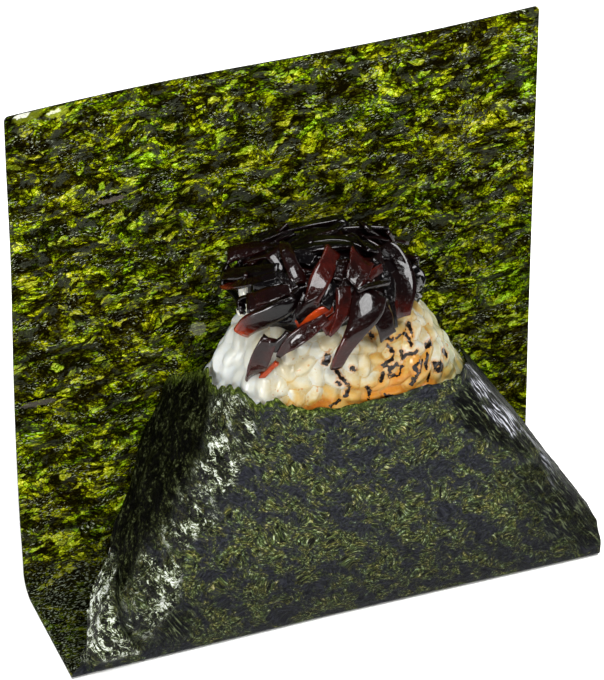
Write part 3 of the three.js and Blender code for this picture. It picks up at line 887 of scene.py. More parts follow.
def with_glints(tree, colour, flat, place, along):
    """The colour with painted glints: curled-up bits lightened as if they catch the light, in clusters,
    and those bits.
    """
    cluster = patches(tree, flat, (6.0, 3.0), turn=0.0, seed=17, detail=2)
    curled = patches(tree, place, (0.7, 0.26), turn=0.15, seed=19, detail=1)
    glint = where(tree, (curled, 0.64, 0.70), (cluster, 0.50, 0.62))
    colour = lay_over(tree, colour, 0xA8B094, glint, 0.6)
    # Under the rice, where the sheet lies on the floor, it is painted dark as shade, with small painted
    # glints.
    floor = (along, 85.5, 75.5), (along, 50.0, 54.0)
    colour = lay_over(tree, colour, 0x0A0B04, where(tree, *floor), 0.72)
    painted_sparks = where(tree, (curled, 0.60, 0.66), *floor)
    return lay_over(tree, colour, 0x7C8472, painted_sparks, 0.7), glint


def with_dark_lines(tree, colour, flat):
    """The colour with long thin dark lines that run across the leaf, also sunk in the relief, and the
    lines.
    """
    line = patches(tree, drift(tree, flat, 8.0, 1.5), (15.0, 1.1), turn=0.0, seed=21, detail=2)
    split = patches(tree, flat, (7.0, 4.0), turn=0.0, seed=25, detail=2)
    gap = where(tree, (crest(tree, line), 0.022, 0.004), (split, 0.46, 0.56))
    return lay_over(tree, colour, 0x040401, gap, 0.9), gap


def rough_side_material(settings):
    """Toasted laver, mat side: angular scraps of leaf lie on a dark sheet, matt and green."""
    material, tree, shader = new_material("toasted_laver_mat_side")
    flat = leaf_place(tree)
    bent = drift(tree, flat, 9.0, 4.0)
    place = drift(tree, bent, 0.5, 0.4)
    thick = patches(tree, bent, (5.5, 3.5), turn=0.1, seed=1, detail=5, roughness=0.62)
    grit = patches(tree, place, (0.30, 0.24), turn=0.0, seed=2, detail=3, roughness=0.65)
    curls = patches(tree, drift(tree, flat, 1.2, 1.4), (0.9, 0.3), turn=0.2, seed=5, detail=2)
    large = scraps(tree, place, (2.2, 1.1), turn=0.12, seed=3)
    middle = scraps(tree, place, (1.05, 0.6), turn=-0.35, seed=11)
    small = scraps(tree, place, (0.55, 0.36), turn=0.3, seed=23)
    across, along = add(tree, "ShaderNodeSeparateXYZ", {0: flat}).outputs[:2]
    # Thin leaf lets more light through, so each layer of scraps changes how bright it is: the light
    # through the leaf is painted into its colour.
    leafy = weigh(
        tree,
        [
            (thick, 0.80),
            (patches(tree, flat, (13.0, 9.0), turn=0.2, seed=33, detail=2), 0.33),
            (grit, 0.20),
            (curls, 0.35),
            (large[0], 0.24),
            (middle[0], 0.26),
            (small[0], 0.13),
            # Painted light: towards the right the leaf is a little brighter.
            (where(tree, (across, 50.0, 100.0)), 0.035),
            # Painted shade: the leaf is darker along the edges of the scraps.
            (where(tree, (large[3], 0.10, 0.0)), -0.12),
            (where(tree, (middle[3], 0.16, 0.0)), -0.16),
        ],
        -0.665,
    )
    colour = add(
        tree, "ShaderNodeValToRGB", {0: leafy},
        ramp=[
            (0.26, 0x0B0901), (0.38, 0x1D1B04), (0.46, 0x2D2D05), (0.53, 0x3E4405),
            (0.60, 0x5F6906), (0.68, 0x86920A), (0.77, settings.thin_leaf), (0.90, 0xDCE07A),
        ],
    )
    # A few flakes of thin leaf are bright, with light through them painted in.
    flake = scraps(tree, drift(tree, bent, 0.9, 0.9), (2.3, 1.2), turn=0.25, seed=43)
    thin = add(
        tree, "ShaderNodeValToRGB", {0: weigh(tree, [(curls, 0.7), (grit, 0.3)])},
        ramp=[(0.34, 0x50590A), (0.50, 0x909C16), (0.66, 0xD4DC70)],
    )
    painted_backlight = where(tree, (flake[0], 0.90, 0.93), (flake[3], 0.03, 0.22))
    colour = lay_over(tree, colour, thin, painted_backlight, 0.85)
    # From olive-brown to green over the sheet, with scraps of either kind anywhere.
    region = patches(tree, flat, (16.0, 12.0), turn=0.0, seed=9, detail=2)
    hue = weigh(tree, [(region, 0.75), (large[1], 0.3), (middle[1], 0.2)], -0.14)
    tint = add(
        tree, "ShaderNodeValToRGB", {0: hue},
        ramp=[(0.3, 0xFFEEA4), (0.5, 0xF6FFC0), (0.72, 0xC8FF9C)],
    )
    colour = lay_over(tree, colour, tint, 0.8, blend="MULTIPLY")
    colour = with_slate(tree, colour, bent, along, grit, small[1])
    colour, glint = with_glints(tree, colour, flat, place, along)
    colour, gap = with_dark_lines(tree, colour, flat)
    colour = with_places(tree, drift(tree, flat, 0.9, 0.9), colour)
    relief = [(large[2], 0.4), (middle[2], 0.4), (small[2], 0.3), (grit, 0.9), (curls, 0.9)]
    relief = weigh(tree, relief + [(thick, 1.0), (gap, -0.7)])
    bump = {"Height": relief, "Strength": 1.0, "Distance": LEAF_RELIEF * MM}
    shine = add(tree, "ShaderNodeMapRange", {"Value": glint, "To Min": 0.0, "To Max": 0.3})
    feed(
        tree,
        shader,
        {
            "Base Color": colour,
            "Roughness": 0.5,
            "Specular IOR Level": shine,
            "Normal": add(tree, "ShaderNodeBump", bump),
        },
    )
    return material


# Wisps of leaf in the glossy side: turn, length and width in millimetres, seed.
WISPS = [
    (-0.55, (5.2, 1.7), 5.0),
    (-0.42, (6.0, 1.6), 17.0),
    (-0.90, (4.4, 1.5), 29.0),
    (0.35, (3.6, 1.5), 41.0),
    (-0.65, (3.2, 1.0), 53.0),
    (1.30, (2.8, 1.2), 67.0),
]


def olive_leaf(tree, place, lively):
    """The leaf in the wisps: olive to straw, cooler in some bits and warmer in others."""
    leaf = add(
        tree, "ShaderNodeValToRGB", {0: lively},
        ramp=[(0.34, 0x1B1E0D), (0.45, 0x3A401C), (0.53, 0x5C6430), (0.61, 0x8A925A), (0.70, 0xCACFAE)],
    )
    hue = patches(tree, place, (2.2, 1.4), turn=0.9, seed=15, detail=3, roughness=0.6)
    tint = add(
        tree, "ShaderNodeValToRGB", {0: hue},
        ramp=[(0.36, 0xC8F0FF), (0.50, 0xF8FFF0), (0.62, 0xFFE0A0)],
    )
    return lay_over(tree, leaf, tint, 0.55, blend="MULTIPLY")


def with_wisps(tree, colour, place, cluster, lively):
    """The colour with wisps, a faint web, loose bits and pits over it, and the wisps' relief."""
    leaf = olive_leaf(tree, place, lively)
    relief = []
    for turn, size, seed in WISPS:
        line = crest(tree, patches(tree, place, size, turn=turn, seed=seed, detail=4, roughness=0.66))
        broken = patches(tree, place, (1.3, 0.8), turn=turn, seed=seed + 3, detail=3, roughness=0.6)
        wisp = where(tree, (line, 0.026, 0.004), (broken, 0.40, 0.54), (cluster, 0.40, 0.58))
        colour = lay_over(tree, colour, leaf, wisp, 0.85)
        relief.append((wisp, 0.2))
    near = drift(tree, place, 0.5, 0.5)
    web = patches(tree, near, (1.1, 0.7), turn=0.8, seed=83, detail=3, roughness=0.65)
    web = crest(tree, web)
    colour = lay_over(tree, colour, 0x363C26, where(tree, (web, 0.03, 0.0)), 0.45)
    for size, turn, seed in (((1.5, 0.7), -0.8, 63.0), ((0.5, 0.32), 0.4, 65.0)):
        bit = scraps(tree, place, size, turn=turn, seed=seed)
        shown = where(tree, (bit[0], 0.68, 0.80), (cluster, 0.45, 0.57), (bit[3], 0.02, 0.14))
        colour = lay_over(tree, colour, leaf, shown, 0.7)
    pit = scraps(tree, place, (0.75, 0.42), turn=-0.5, seed=61)
    pitted = where(tree, (pit[1], 0.86, 0.93), (cluster, 0.42, 0.54))
    return lay_over(tree, colour, 0x040403, pitted, 0.9), relief


def frayed_skin(tree, flat, skin, eared):
    """How frayed the moist skin is in its creases, a little more so in the ear; this pattern sets the
    painted silver sheen and the wings' painted shade.
    """
    threads = patches(tree, drift(tree, flat, 1.5, 1.6), (1.3, 0.24), turn=0.9, seed=69, detail=2)
    crossed = patches(tree, drift(tree, flat, 1.2, 1.2), (0.9, 0.2), turn=-0.6, seed=77, detail=2)
    lumps = patches(tree, drift(tree, flat, 3.0, 2.6), (3.4, 2.2), turn=1.2, seed=70, detail=3)
    crumbs = scraps(tree, drift(tree, flat, 0.9, 1.0), (1.7, 0.8), turn=1.0, seed=72)[0]
    layers = [(skin, 0.45), (threads, 0.75), (crossed, 0.65), (lumps, 0.8), (crumbs, 0.22)]
    return weigh(tree, [*layers, (eared, 0.08)], -0.92)


def with_shaded_wings_and_sheen(tree, colour, frayed, grit, winged, crumpled, settings):
    """The colour with the wings painted darker and greener, painted shade on sides turned from the
    light, and with the crumpled creases painted silver, a painted sheen over their frayed skin.
    """
    # Painted shade: the wings are darker, as sides turned from the light.
    wing = add(
        tree, "ShaderNodeValToRGB", {0: weigh(tree, [(frayed, 0.9), (grit, 1.0)], -0.45)},
        ramp=[(0.42, 0x010100), (0.58, 0x070801), (0.70, 0x191C09), (0.82, 0x3E442A)],
    )
    colour = lay_over(tree, colour, wing, winged)
    # Painted sheen: the crumpled creases are painted silver, as light reflected from them.
    painted_silver = add(
        tree, "ShaderNodeValToRGB", {0: frayed},
        ramp=[
            (0.40, 0x020200), (0.51, 0x0B0C02), (0.58, 0x22270F), (0.65, 0x565F3C),
            (0.73, 0xA0A890), (0.82, settings.painted_silver),
        ],
    )
    return lay_over(tree, colour, painted_silver, crumpled, 0.95)


def with_strands(tree, colour, flat, strands, streaked, combed):
    """The colour with strands painted pale as a sheen beside a comb of painted shade, and how much of
    the strands shows.
    """
    bent = drift(tree, flat, 4.0, 1.0)
    teeth = patches(tree, bent, (3.0, 0.5), turn=0.95, seed=87, detail=3, roughness=0.6)
    comb_shade = add(
        tree, "ShaderNodeValToRGB", {0: weigh(tree, [(strands, 0.5), (teeth, 0.9)], -0.2)},
        ramp=[(0.45, 0x010100), (0.53, 0x0A0C06), (0.61, 0x282D1E), (0.71, 0x5C6448)],
    )
    painted_sheen = add(
        tree, "ShaderNodeValToRGB", {0: strands},
        ramp=[(0.46, 0x050605), (0.51, 0x2C2F32), (0.57, 0xA8AAB6), (0.65, 0xE4E6F0)],
    )
    broken = patches(tree, flat, (7.0, 1.6), turn=1.06, seed=81)
    strand = where(tree, (strands, 0.46, 0.51), (broken, 0.32, 0.42))
    strand = add(tree, "ShaderNodeMath", {0: streaked, 1: strand}, operation="MULTIPLY")
    for share in (combed, streaked):
        colour = lay_over(tree, colour, comb_shade, share, 0.95)
    return lay_over(tree, colour, painted_sheen, strand, 0.95), strand


def smooth_side_material(settings):
    """Toasted laver, glossy side: slate-dark, with olive wisps of leaf in a shiny skin."""
    material, tree, shader = new_material("toasted_laver_glossy_side")
    flat = leaf_place(tree)
    across, along = add(tree, "ShaderNodeSeparateXYZ", {0: flat}).outputs[:2]
    place = drift(tree, drift(tree, drift(tree, flat, 6.0, 4.0), 0.9, 0.45), 0.35, 0.22)
    crumpled, eared, winged, streaked, combed = [
        add(tree, "ShaderNodeAttribute", attribute_name=name).outputs["Fac"]
        for name in ("crumpled", "eared", "winged", "streaked", "combed")
    ]
    bent = drift(tree, flat, 5.0, 4.0)
    cluster = patches(tree, bent, (4.6, 3.4), turn=0.7, seed=3, detail=5, roughness=0.68)
    bare = patches(tree, flat, (17.0, 10.0), turn=0.7, seed=23, detail=2, roughness=0.5)
    cluster = weigh(tree, [(cluster, 1.0), (bare, 0.4)], -0.2)
    skin = patches(tree, place, (0.9, 0.6), turn=0.0, seed=7, detail=4, roughness=0.7)
    lively = patches(tree, place, (0.7, 0.45), turn=0.6, seed=9, detail=4, roughness=0.65)
    colour = add(
        tree, "ShaderNodeValToRGB", {0: skin},
        ramp=[(0.30, 0x09090D), (0.48, settings.slate), (0.66, 0x2D2E36)],
    )
    colour = lay_over(tree, colour, 0x1A1D0B, where(tree, (cluster, 0.48, 0.62)), 0.5)
    colour, relief = with_wisps(tree, colour, place, cluster, lively)
    # Towards the underside the leaf is darker.
    colour = lay_over(tree, colour, 0x060608, where(tree, (along, 26.0, 48.0)), 0.4)
    frayed = frayed_skin(tree, flat, skin, eared)
    grit = add(
        tree,
        "ShaderNodeTexNoise",
        {"Vector": solid_place(tree), "Scale": 1 / 0.55, "Detail": 3.0, "Roughness": 0.65},
    ).outputs[0]
    colour = with_shaded_wings_and_sheen(tree, colour, frayed, grit, winged, crumpled, settings)
    bent = drift(tree, flat, 5.0, 0.9)
    strands = patches(tree, bent, (4.8, 0.34), turn=1.06, seed=79, detail=3, roughness=0.6)
    colour, strand = with_strands(tree, colour, flat, strands, streaked, combed)
    # The free edge is frayed to thin green leaf.
    inside = weigh(tree, [(along, 1.0), (skin, 4.0), (lively, 2.0)], -3.0)
    fringe = where(tree, (inside, 1.7, 0.6), (across, 70.0, 48.0))
    green = add(
        tree, "ShaderNodeValToRGB", {0: lively},
        ramp=[(0.34, 0x111604), (0.52, 0x303C0C), (0.70, 0x76843A)],
    )
    colour = lay_over(tree, colour, green, fringe, 0.9)
    # Fine crumples in the bands, upright ones in the wing and long ones by the right crease.
    bent = drift(tree, flat, 2.4, 2.0)
    pucker = patches(tree, bent, (1.3, 0.7), turn=0.4, seed=71, detail=3, roughness=0.6)
    bent = drift(tree, flat, 4.0, 1.5)
    upright = patches(tree, bent, (3.0, 0.7), turn=1.5, seed=73, detail=3, roughness=0.6)
    drawn = add(tree, "ShaderNodeMath", {0: streaked, 1: combed}, operation="MAXIMUM")
    relief = [(skin, 0.4), *relief]
    for value, share, depth in (
        (pucker, crumpled, 2.4),
        (upright, winged, 1.0),
        (grit, winged, 1.6),
        (strands, drawn, 1.4),
    ):
        own = add(tree, "ShaderNodeMath", {0: value, 1: share}, operation="MULTIPLY")
        relief.append((own, depth))
    bump = {"Height": weigh(tree, relief), "Strength": 1.0, "Distance": LEAF_RELIEF * MM}
    shiny = add(tree, "ShaderNodeMath", {0: crumpled, 1: strand}, operation="MAXIMUM")
    gloss = {"Value": shiny, "To Min": 0.34, "To Max": 0.17}
    shine = weigh(tree, [(shiny, 0.1), (winged, -0.01), (combed, -0.01)], 0.03)
    feed(
        tree,
        shader,
        {
            "Base Color": colour,
            "Roughness": add(tree, "ShaderNodeMapRange", gloss),
            "Specular IOR Level": shine,
            "Normal": add(tree, "ShaderNodeBump", bump),
        },
    )
    return material


def rice_material(settings):
    """Steamed short-grain rice, grilled on one face: translucent starch with a moist skin."""
    material, tree, shader = new_material("steamed_rice_grilled_face")
    place = solid_place(tree)
    seam, tone, browned, from_char = [
        add(tree, "ShaderNodeAttribute", attribute_name=name).outputs["Fac"]
        for name in ("seam", "grain_tone", "browned", "from_char")
    ]
    soft, fine, fleck = [
        add(tree, "ShaderNodeTexNoise", {"Vector": place, "Scale": 1 / size, "Detail": much}).outputs[0]
        for size, much in ((3.0, 3.0), (0.7, 3.0), (0.95, 1.0))
    ]
    uneven = weigh(tree, [(soft, 0.9), (tone, 0.34), (fine, 0.2)], -0.69)
    patchy = {0: uneven, 1: where(tree, (browned, 0.03, 0.3))}
    patchy = add(tree, "ShaderNodeMath", patchy, operation="MULTIPLY")
    toast = add(tree, "ShaderNodeMath", {0: browned, 1: patchy}, operation="ADD")
    # Grains brown first along their edges.
    rim = where(tree, (seam, 0.16, 0.02), (browned, 0.06, 0.25))
    toast = weigh(tree, [(rim, 0.22)], toast)
    colour = add(
        tree, "ShaderNodeValToRGB", {0: toast},
        ramp=[
            (0.0, settings.steamed), (0.14, 0xADA894), (0.28, 0xA6966C), (0.44, 0xA68746),
            (0.66, settings.toasted), (1.0, 0x86440F),
        ],
    )
    # On the moist white side the lines between grains are painted faintly grey: painted shade between
    # the grains.
    seam_shade = where(tree, (seam, 0.09, 0.0), (browned, 0.08, 0.02))
    colour = lay_over(tree, colour, 0x8E938C, seam_shade, 0.3)
    # At the far right the rice is painted greener and darker: the seaweed showing through the rice and
    # the shade on its side turned from the light, both painted.
    sides = add(tree, "ShaderNodeSeparateXYZ", {0: place}).outputs["X"]
    colour = lay_over(tree, colour, 0x8E965E, where(tree, (sides, 20.0, 25.5)), 0.4)
    flecked = where(tree, (fleck, 0.68, 0.73), (browned, 0.05, 0.16))
    colour = lay_over(tree, colour, 0x9C6218, flecked, 0.65)
    ragged_edge = weigh(tree, [(from_char, 1.0), (fine, 1.3), (soft, 1.2)], -1.19)
    colour = lay_over(tree, colour, 0xA66A16, where(tree, (ragged_edge, 0.95, 0.42)), 0.7)
    colour = lay_over(tree, colour, settings.char, where(tree, (ragged_edge, 0.48, 0.36)))
    # Between two browned grains the colour is a little darker: partly browning along their edges,
    # partly painted shade between them.
    brown_and_shade_line = where(tree, (seam, 0.14, 0.0), (browned, 0.02, 0.15))
    colour = lay_over(tree, colour, 0x9C8048, brown_and_shade_line, 0.35)
    # The creases between grains are deeper on the browned face than on the moist white side.
    crease = add(tree, "ShaderNodeMapRange", {"Value": browned, "From Max": 0.2, "To Min": 0.15})
    crease = {0: where(tree, (seam, 0.0, 0.5)), 1: crease}
    crease = add(tree, "ShaderNodeMath", crease, operation="MULTIPLY")
    height = weigh(tree, [(fine, 0.4), (crease, 0.7)])
    bump = add(tree, "ShaderNodeBump", {"Height": height, "Strength": 1.0, "Distance": 0.12 * MM})
    feed(
        tree,
        shader,
        {
            "Base Color": colour,
            "Roughness": 0.22,
            "IOR": 1.38,
            "Subsurface Weight": 0.85,
            "Subsurface Radius": (1.0, 0.8, 0.55),
            "Subsurface Scale": 2.3 * MM,
            "Normal": bump,
        },
    )
    return material


def kelp_material(settings):
    """Kelp simmered in soy: near-black to red-brown jelly under a wet glaze."""
    material, tree, shader = new_material("simmered_kelp_wet_glaze")
    place = solid_place(tree)
    tone = add(tree, "ShaderNodeAttribute", attribute_name="tone").outputs["Fac"]
    cloudy, blister = [
        add(tree, "ShaderNodeTexNoise", {"Vector": place, "Scale": 1 / size, "Detail": 3.0}).outputs[0]
        for size in (2.6, 1.1)
    ]
    depth = weigh(tree, [(tone, 1.0), (cloudy, 0.35)], -0.175)
    # The red and orange towards the top of the ramp are partly the kelp's own colour and partly painted
    # light through thin kelp.
    colour = add(
        tree, "ShaderNodeValToRGB", {0: depth},
        ramp=[
            (0.05, settings.dark), (0.3, 0x0A0202), (0.5, 0x160403), (0.7, 0x370C07),
            (0.9, settings.red), (1.0, 0x8E300A),
        ],
    )
    bump = add(tree, "ShaderNodeBump", {"Height": blister, "Strength": 0.9, "Distance": 0.42 * MM})
    wet = add(tree, "ShaderNodeMapRange", {"Value": cloudy, "To Min": 0.08, "To Max": 0.22})
    feed(
        tree,
        shader,
        {
            "Base Color": colour,
            "Roughness": wet,
            "Specular IOR Level": 0.08,
            "Coat Weight": 0.42,
            "Coat Roughness": 0.05,
            "Normal": bump,
        },
    )
    return material


# ---- rice ----

GRAIN_SIDES = {"segments": 10, "rings": 7}
GRAIN_POINTS = GRAIN_SIDES["segments"] * (GRAIN_SIDES["rings"] - 1) + 2
# Most grains for each square metre of core, how much smaller or larger one may be, and how
# many times the set depth it is sunk, downwards being minus.
DENSEST = 600000.0
GRAIN_SCALES = (0.88, 1.14)
GRAIN_DEPTHS = (-1.9, -0.3)
# The grains stand upright up to one place in metres and lie anyhow from another. Upright
# ones still turn by up to the spin, in radians.
UPRIGHT = {"until": -0.016, "free_from": -0.007, "spin": 0.35}
# The grains above one height show and are fused. The core is cut in two, a little lower for
# the pressed top and a little higher for the base, so that the two overlap inside. Grains
# from some way below the fused ones still count for their colour.
FUSED_ABOVE = 41.0
TOP_CUT = 37.0
CORE_CUT = 43.0
COLOUR_MARGIN = 8.0
# How far the core is drawn in where it shows, and by how much more where it is hidden and at
# the two shoulders. A minus swells it.
SHRINK = {"shown": 0.25, "hidden": 0.75, "right_shoulder": -1.1, "left_shoulder": -2.4}
# How high the wrap covers the ball, and how far grains may stand past the core inside it.
PRESS = {"covered_below": 50.0, "front": 0.15, "sides": 0.1}
# Rounds of evening out, and its share in each round: everywhere, and besides on the left.
EVEN = {"rounds": 13, "everywhere": 0.05, "left": 0.3}
# How many grains are looked at round a point, and how much wider than its middle a grain is.
NEAR_GRAINS = 6
GIRTH_SHARE = 1.1
# The part of the rice that can be charred, and the distance that stands for no char.
GRILLED = {"above": 48.0, "in_front_of": 2.0}
FAR_FROM_CHAR = 9.0

# Char marks on the grilled face, as x and z along each stroke.
CHAR_MARKS = [
    ((7.6, 64.4), (8.2, 63.4), (8.8, 63.4)),
    ((10.4, 62.9), (12.1, 62.2)),
    ((16.5, 62.7), (16.3, 61.6)),
    ((13.3, 62.2), (14.9, 62.1)),
    ((15.3, 61.8), (15.8, 60.5)),
    ((19.1, 58.5), (20.6, 58.1)),
    ((23.4, 55.0), (24.3, 53.1)),
    ((11.2, 61.1), (12.3, 59.8), (11.7, 59.0), (10.5, 58.2)),
    ((13.7, 59.5), (13.9, 58.2)),
    ((14.5, 58.6), (16.8, 58.9)),
    ((19.0, 57.2), (18.5, 54.7)),
    ((20.5, 54.8), (22.4, 53.4), (22.5, 52.2), (20.9, 53.0), (20.6, 54.2)),
    ((9.5, 58.1), (10.2, 57.5)),
    ((9.8, 56.4), (9.3, 54.7)),
    ((12.3, 55.2), (11.0, 55.7), (11.1, 57.2), (12.4, 57.4), (13.6, 56.5), (12.8, 55.3)),
    ((17.0, 57.2), (15.9, 56.4), (16.5, 54.7), (15.4, 52.4)),
    ((17.5, 56.3), (16.9, 54.8)),
    ((19.3, 52.8), (18.9, 51.6)),
    ((0.6, 59.2), (1.4, 57.7), (2.8, 55.6)),
    ((3.2, 54.9), (2.3, 53.2)),
    ((6.3, 54.5), (7.0, 52.8), (6.6, 51.3)),
    ((9.9, 51.5), (10.9, 51.0)),
    ((1.0, 52.5), (-0.8, 51.8)),
    ((3.4, 59.8), (3.9, 58.9)),
    ((-0.6, 62.1), (-1.4, 61.0)),
    ((0.2, 57.4), (0.8, 56.7)),
]

# Middles of a few more grains that stand proud at the left shoulder.
SHOULDER_GRAINS = [
    (-17.2, -1.0, 56.6),
    (-15.9, -1.0, 58.6),
    (-14.6, -1.0, 61.2),
    (-15.6, -3.4, 58.4),
    (-13.6, -3.0, 61.8),
    (-11.9, 0.5, 63.6),
    (-11.8, 0.5, 66.8),
    (-11.3, 0.5, 69.2),
    (-9.8, 0.0, 65.6),
    (-9.6, 0.0, 68.4),
    (-10.4, -2.2, 66.8),
    (-10.4, -2.2, 64.2),
    (-8.4, -1.6, 68.8),
]


def grain_shape(tree, given):
    """One grain: a ball stretched to its length, width and height, lying along X."""
    sides = {"Segments": GRAIN_SIDES["segments"], "Rings": GRAIN_SIDES["rings"], "Radius": 0.5}
    ball = add(tree, "GeometryNodeMeshUVSphere", sides)
    size = {"X": given["Width"], "Y": given["Height"], "Z": given["Length"]}
    size = add(tree, "ShaderNodeCombineXYZ", size)
    grain = add(tree, "GeometryNodeTransform", {"Geometry": ball.outputs[0], "Scale": size})
    lying = {"Geometry": grain, "Rotation": (math.pi / 2, 0, math.pi / 2)}
    return add(tree, "GeometryNodeTransform", lying)


def grain_turn(tree, normal, seed):
    """How a grain is turned: flat on the core, upright on the left and anyhow elsewhere."""
    up = add(tree, "FunctionNodeAlignRotationToVector", {"Vector": normal}, axis="Z")
    along = add(
        tree,
        "FunctionNodeAlignRotationToVector",
        {"Rotation": up, "Vector": (0.25, 0.0, 1.0)},
        axis="X",
        pivot_axis="Z",
    )
    place = add(tree, "ShaderNodeSeparateXYZ", {0: add(tree, "GeometryNodeInputPosition")})
    freedom = {
        "Value": place.outputs["X"],
        "From Min": UPRIGHT["until"],
        "From Max": UPRIGHT["free_from"],
        "To Min": UPRIGHT["spin"],
        "To Max": math.pi / 2,
    }
    freedom = add(tree, "ShaderNodeMapRange", freedom)
    other_way = add(tree, "ShaderNodeMath", {0: freedom, 1: -1.0}, operation="MULTIPLY")
    spin = {"Min": other_way, "Max": freedom, "Seed": seed}
    spin = add(tree, "FunctionNodeRandomValue", spin, data_type="FLOAT")
    turn = add(tree, "FunctionNodeAxisAngleToRotation", {"Axis": (0, 0, 1), "Angle": spin})
    turned = {"Rotation": along, "Rotate By": turn}
    return add(tree, "FunctionNodeRotateRotation", turned, rotation_space="LOCAL")


def grain_tree():
    """Geometry Nodes: grains laid flat on a core, no closer than a spacing."""
    tree = bpy.data.node_groups.new("rice_grains_on_core", "GeometryNodeTree")
    face = tree.interface
    face.new_socket("Geometry", in_out="INPUT", socket_type="NodeSocketGeometry")
    for name in ("Spacing", "Length", "Width", "Height", "Sunk"):
        face.new_socket(name, in_out="INPUT", socket_type="NodeSocketFloat")
    face.new_socket("Seed", in_out="INPUT", socket_type="NodeSocketInt")
    face.new_socket("Material", in_out="INPUT", socket_type="NodeSocketMaterial")
    face.new_socket("Geometry", in_out="OUTPUT", socket_type="NodeSocketGeometry")
    given = tree.nodes.new("NodeGroupInput").outputs
    spread = add(
        tree,
        "GeometryNodeDistributePointsOnFaces",
        {
            "Mesh": given["Geometry"],
            "Distance Min": given["Spacing"],
            "Density Max": DENSEST,
            "Seed": given["Seed"],
        },
        distribute_method="POISSON",
    )
    # Each grain has a size and a depth of its own.
    scale, depth = [
        add(
            tree,
            "FunctionNodeRandomValue",
            {
                "Min": low,
                "Max": high,
                "Seed": add(tree, "ShaderNodeMath", {0: given["Seed"], 1: shift}, operation="ADD"),
            },
            data_type="FLOAT",
        )
        for shift, (low, high) in ((1.0, GRAIN_SCALES), (2.0, GRAIN_DEPTHS))
    ]
    laid = {
        "Points": spread.outputs["Points"],
        "Instance": grain_shape(tree, given),
        "Rotation": grain_turn(tree, spread.outputs["Normal"], given["Seed"]),
        "Scale": scale,
    }
    laid = add(tree, "GeometryNodeInstanceOnPoints", laid)
    down = add(tree, "ShaderNodeMath", {0: given["Sunk"], 1: depth}, operation="MULTIPLY")
    down = add(tree, "ShaderNodeCombineXYZ", {"Z": down})
    sunk = add(tree, "GeometryNodeTranslateInstances", {"Instances": laid, "Translation": down})
    real = add(tree, "GeometryNodeRealizeInstances", {"Geometry": sunk})
    done = add(tree, "GeometryNodeSetMaterial", {"Geometry": real, "Material": given["Material"]})
    out = tree.nodes.new("NodeGroupOutput")
    tree.links.new(done.outputs[0], out.inputs[0])
    return tree


def run_tree(mesh, tree, values):
    """A plain mesh of what a Geometry Nodes tree makes on a mesh."""
    carrier = new_piece("carrier", mesh)
    modifier = carrier.modifiers.new("nodes", "NODES")
    modifier.node_group = tree
    for item in tree.interface.items_tree:
        if item.in_out == "INPUT" and item.name in values:
            modifier[item.identifier] = values[item.name]
    made = plain_copy(carrier, "grains")
    bpy.data.objects.remove(carrier)
    return made


def pressed_core():
    """The ball's core, drawn in by less where its grains are fused on."""
    points, faces = ball_core()
    core = new_mesh("rice_core", points, faces)
    normals = read(core.vertices, "normal", 3)
    x, _, z = points.T
    low = 1 - smooth_step(36, 44, z)
    behind = smooth_step(0.2, 0.8, normals[:, 1])
    shrink = SHRINK["shown"] + SHRINK["hidden"] * np.clip(low + behind, 0, 1)
    shrink += SHRINK["right_shoulder"] * smooth_step(10, 20, x) * smooth_step(49, 56, z)
    shrink += SHRINK["left_shoulder"] * smooth_step(-5, -10, x) * smooth_step(60, 65, z)
    set_points(core, points - normals * shrink[:, None])
    return core


def cut_off(mesh, height, keep_top):
    """The part of a closed mesh above or below a height, with a flat cut."""
    body = bmesh.new()
    body.from_mesh(mesh)
    cut = bmesh.ops.bisect_plane(
        body,
        geom=body.verts[:] + body.edges[:] + body.faces[:],
        plane_co=(0, 0, height * MM),
        plane_no=(0, 0, 1),
        clear_inner=keep_top,
        clear_outer=not keep_top,
    )
    rim = [e for e in cut["geom_cut"] if isinstance(e, bmesh.types.BMEdge)]
    bmesh.ops.contextual_create(body, geom=rim)
    bmesh.ops.recalc_face_normals(body, faces=body.faces[:])
    part = bpy.data.meshes.new(mesh.name + "_part")
    body.to_mesh(part)
    body.free()
    return part


def joined(name, meshes):
    """Several meshes' points and faces as one mesh."""
    points, faces, start = [], [], 0
    for mesh in meshes:
        own = points_of(mesh)
        points.append(own)
        faces += [tuple(v + start for v in p.vertices) for p in mesh.polygons]
        start += len(own)
    return new_mesh(name, np.vstack(points), faces)


def shoulder_grains(laid):
    """Copies of upright grains, moved to the left shoulder."""
    middle = laid.mean(1)
    upright = laid[(middle[:, 0] < -11) & (middle[:, 2] > 50) & (middle[:, 1] < 3)]
    own = [upright[i % len(upright)] for i in range(len(SHOULDER_GRAINS))]
    return np.array([grain - grain.mean(0) + place for grain, place in zip(own, SHOULDER_GRAINS)])


def grain_part(laid, grain_faces, name):
    """The given grains as a mesh of their own."""
    faces = [tuple(v + g * GRAIN_POINTS for v in f) for g in range(len(laid)) for f in grain_faces]
    return new_mesh(name, laid.reshape(-1, 3), faces)


def press(points):
    """Presses points back inside the wrap: its front, its back and its three sides."""
    x, y, z = points.T
    inset = inset_at(x, z)
    out = points.copy()
    covered = z < PRESS["covered_below"]
    front = front_at(x, z, np.maximum(inset, 0)) - PRESS["front"]
    out[:, 1] = np.where(covered & (y < front), front, out[:, 1])
    for normal, distance in ball_sides():
        over = out[:, [0, 2]] @ normal - distance - PRESS["sides"]
        push = np.where(covered | (normal[1] < 0), np.maximum(over, 0), 0)
        out[:, 0] -= normal[0] * push
        out[:, 2] -= normal[1] * push
    return out


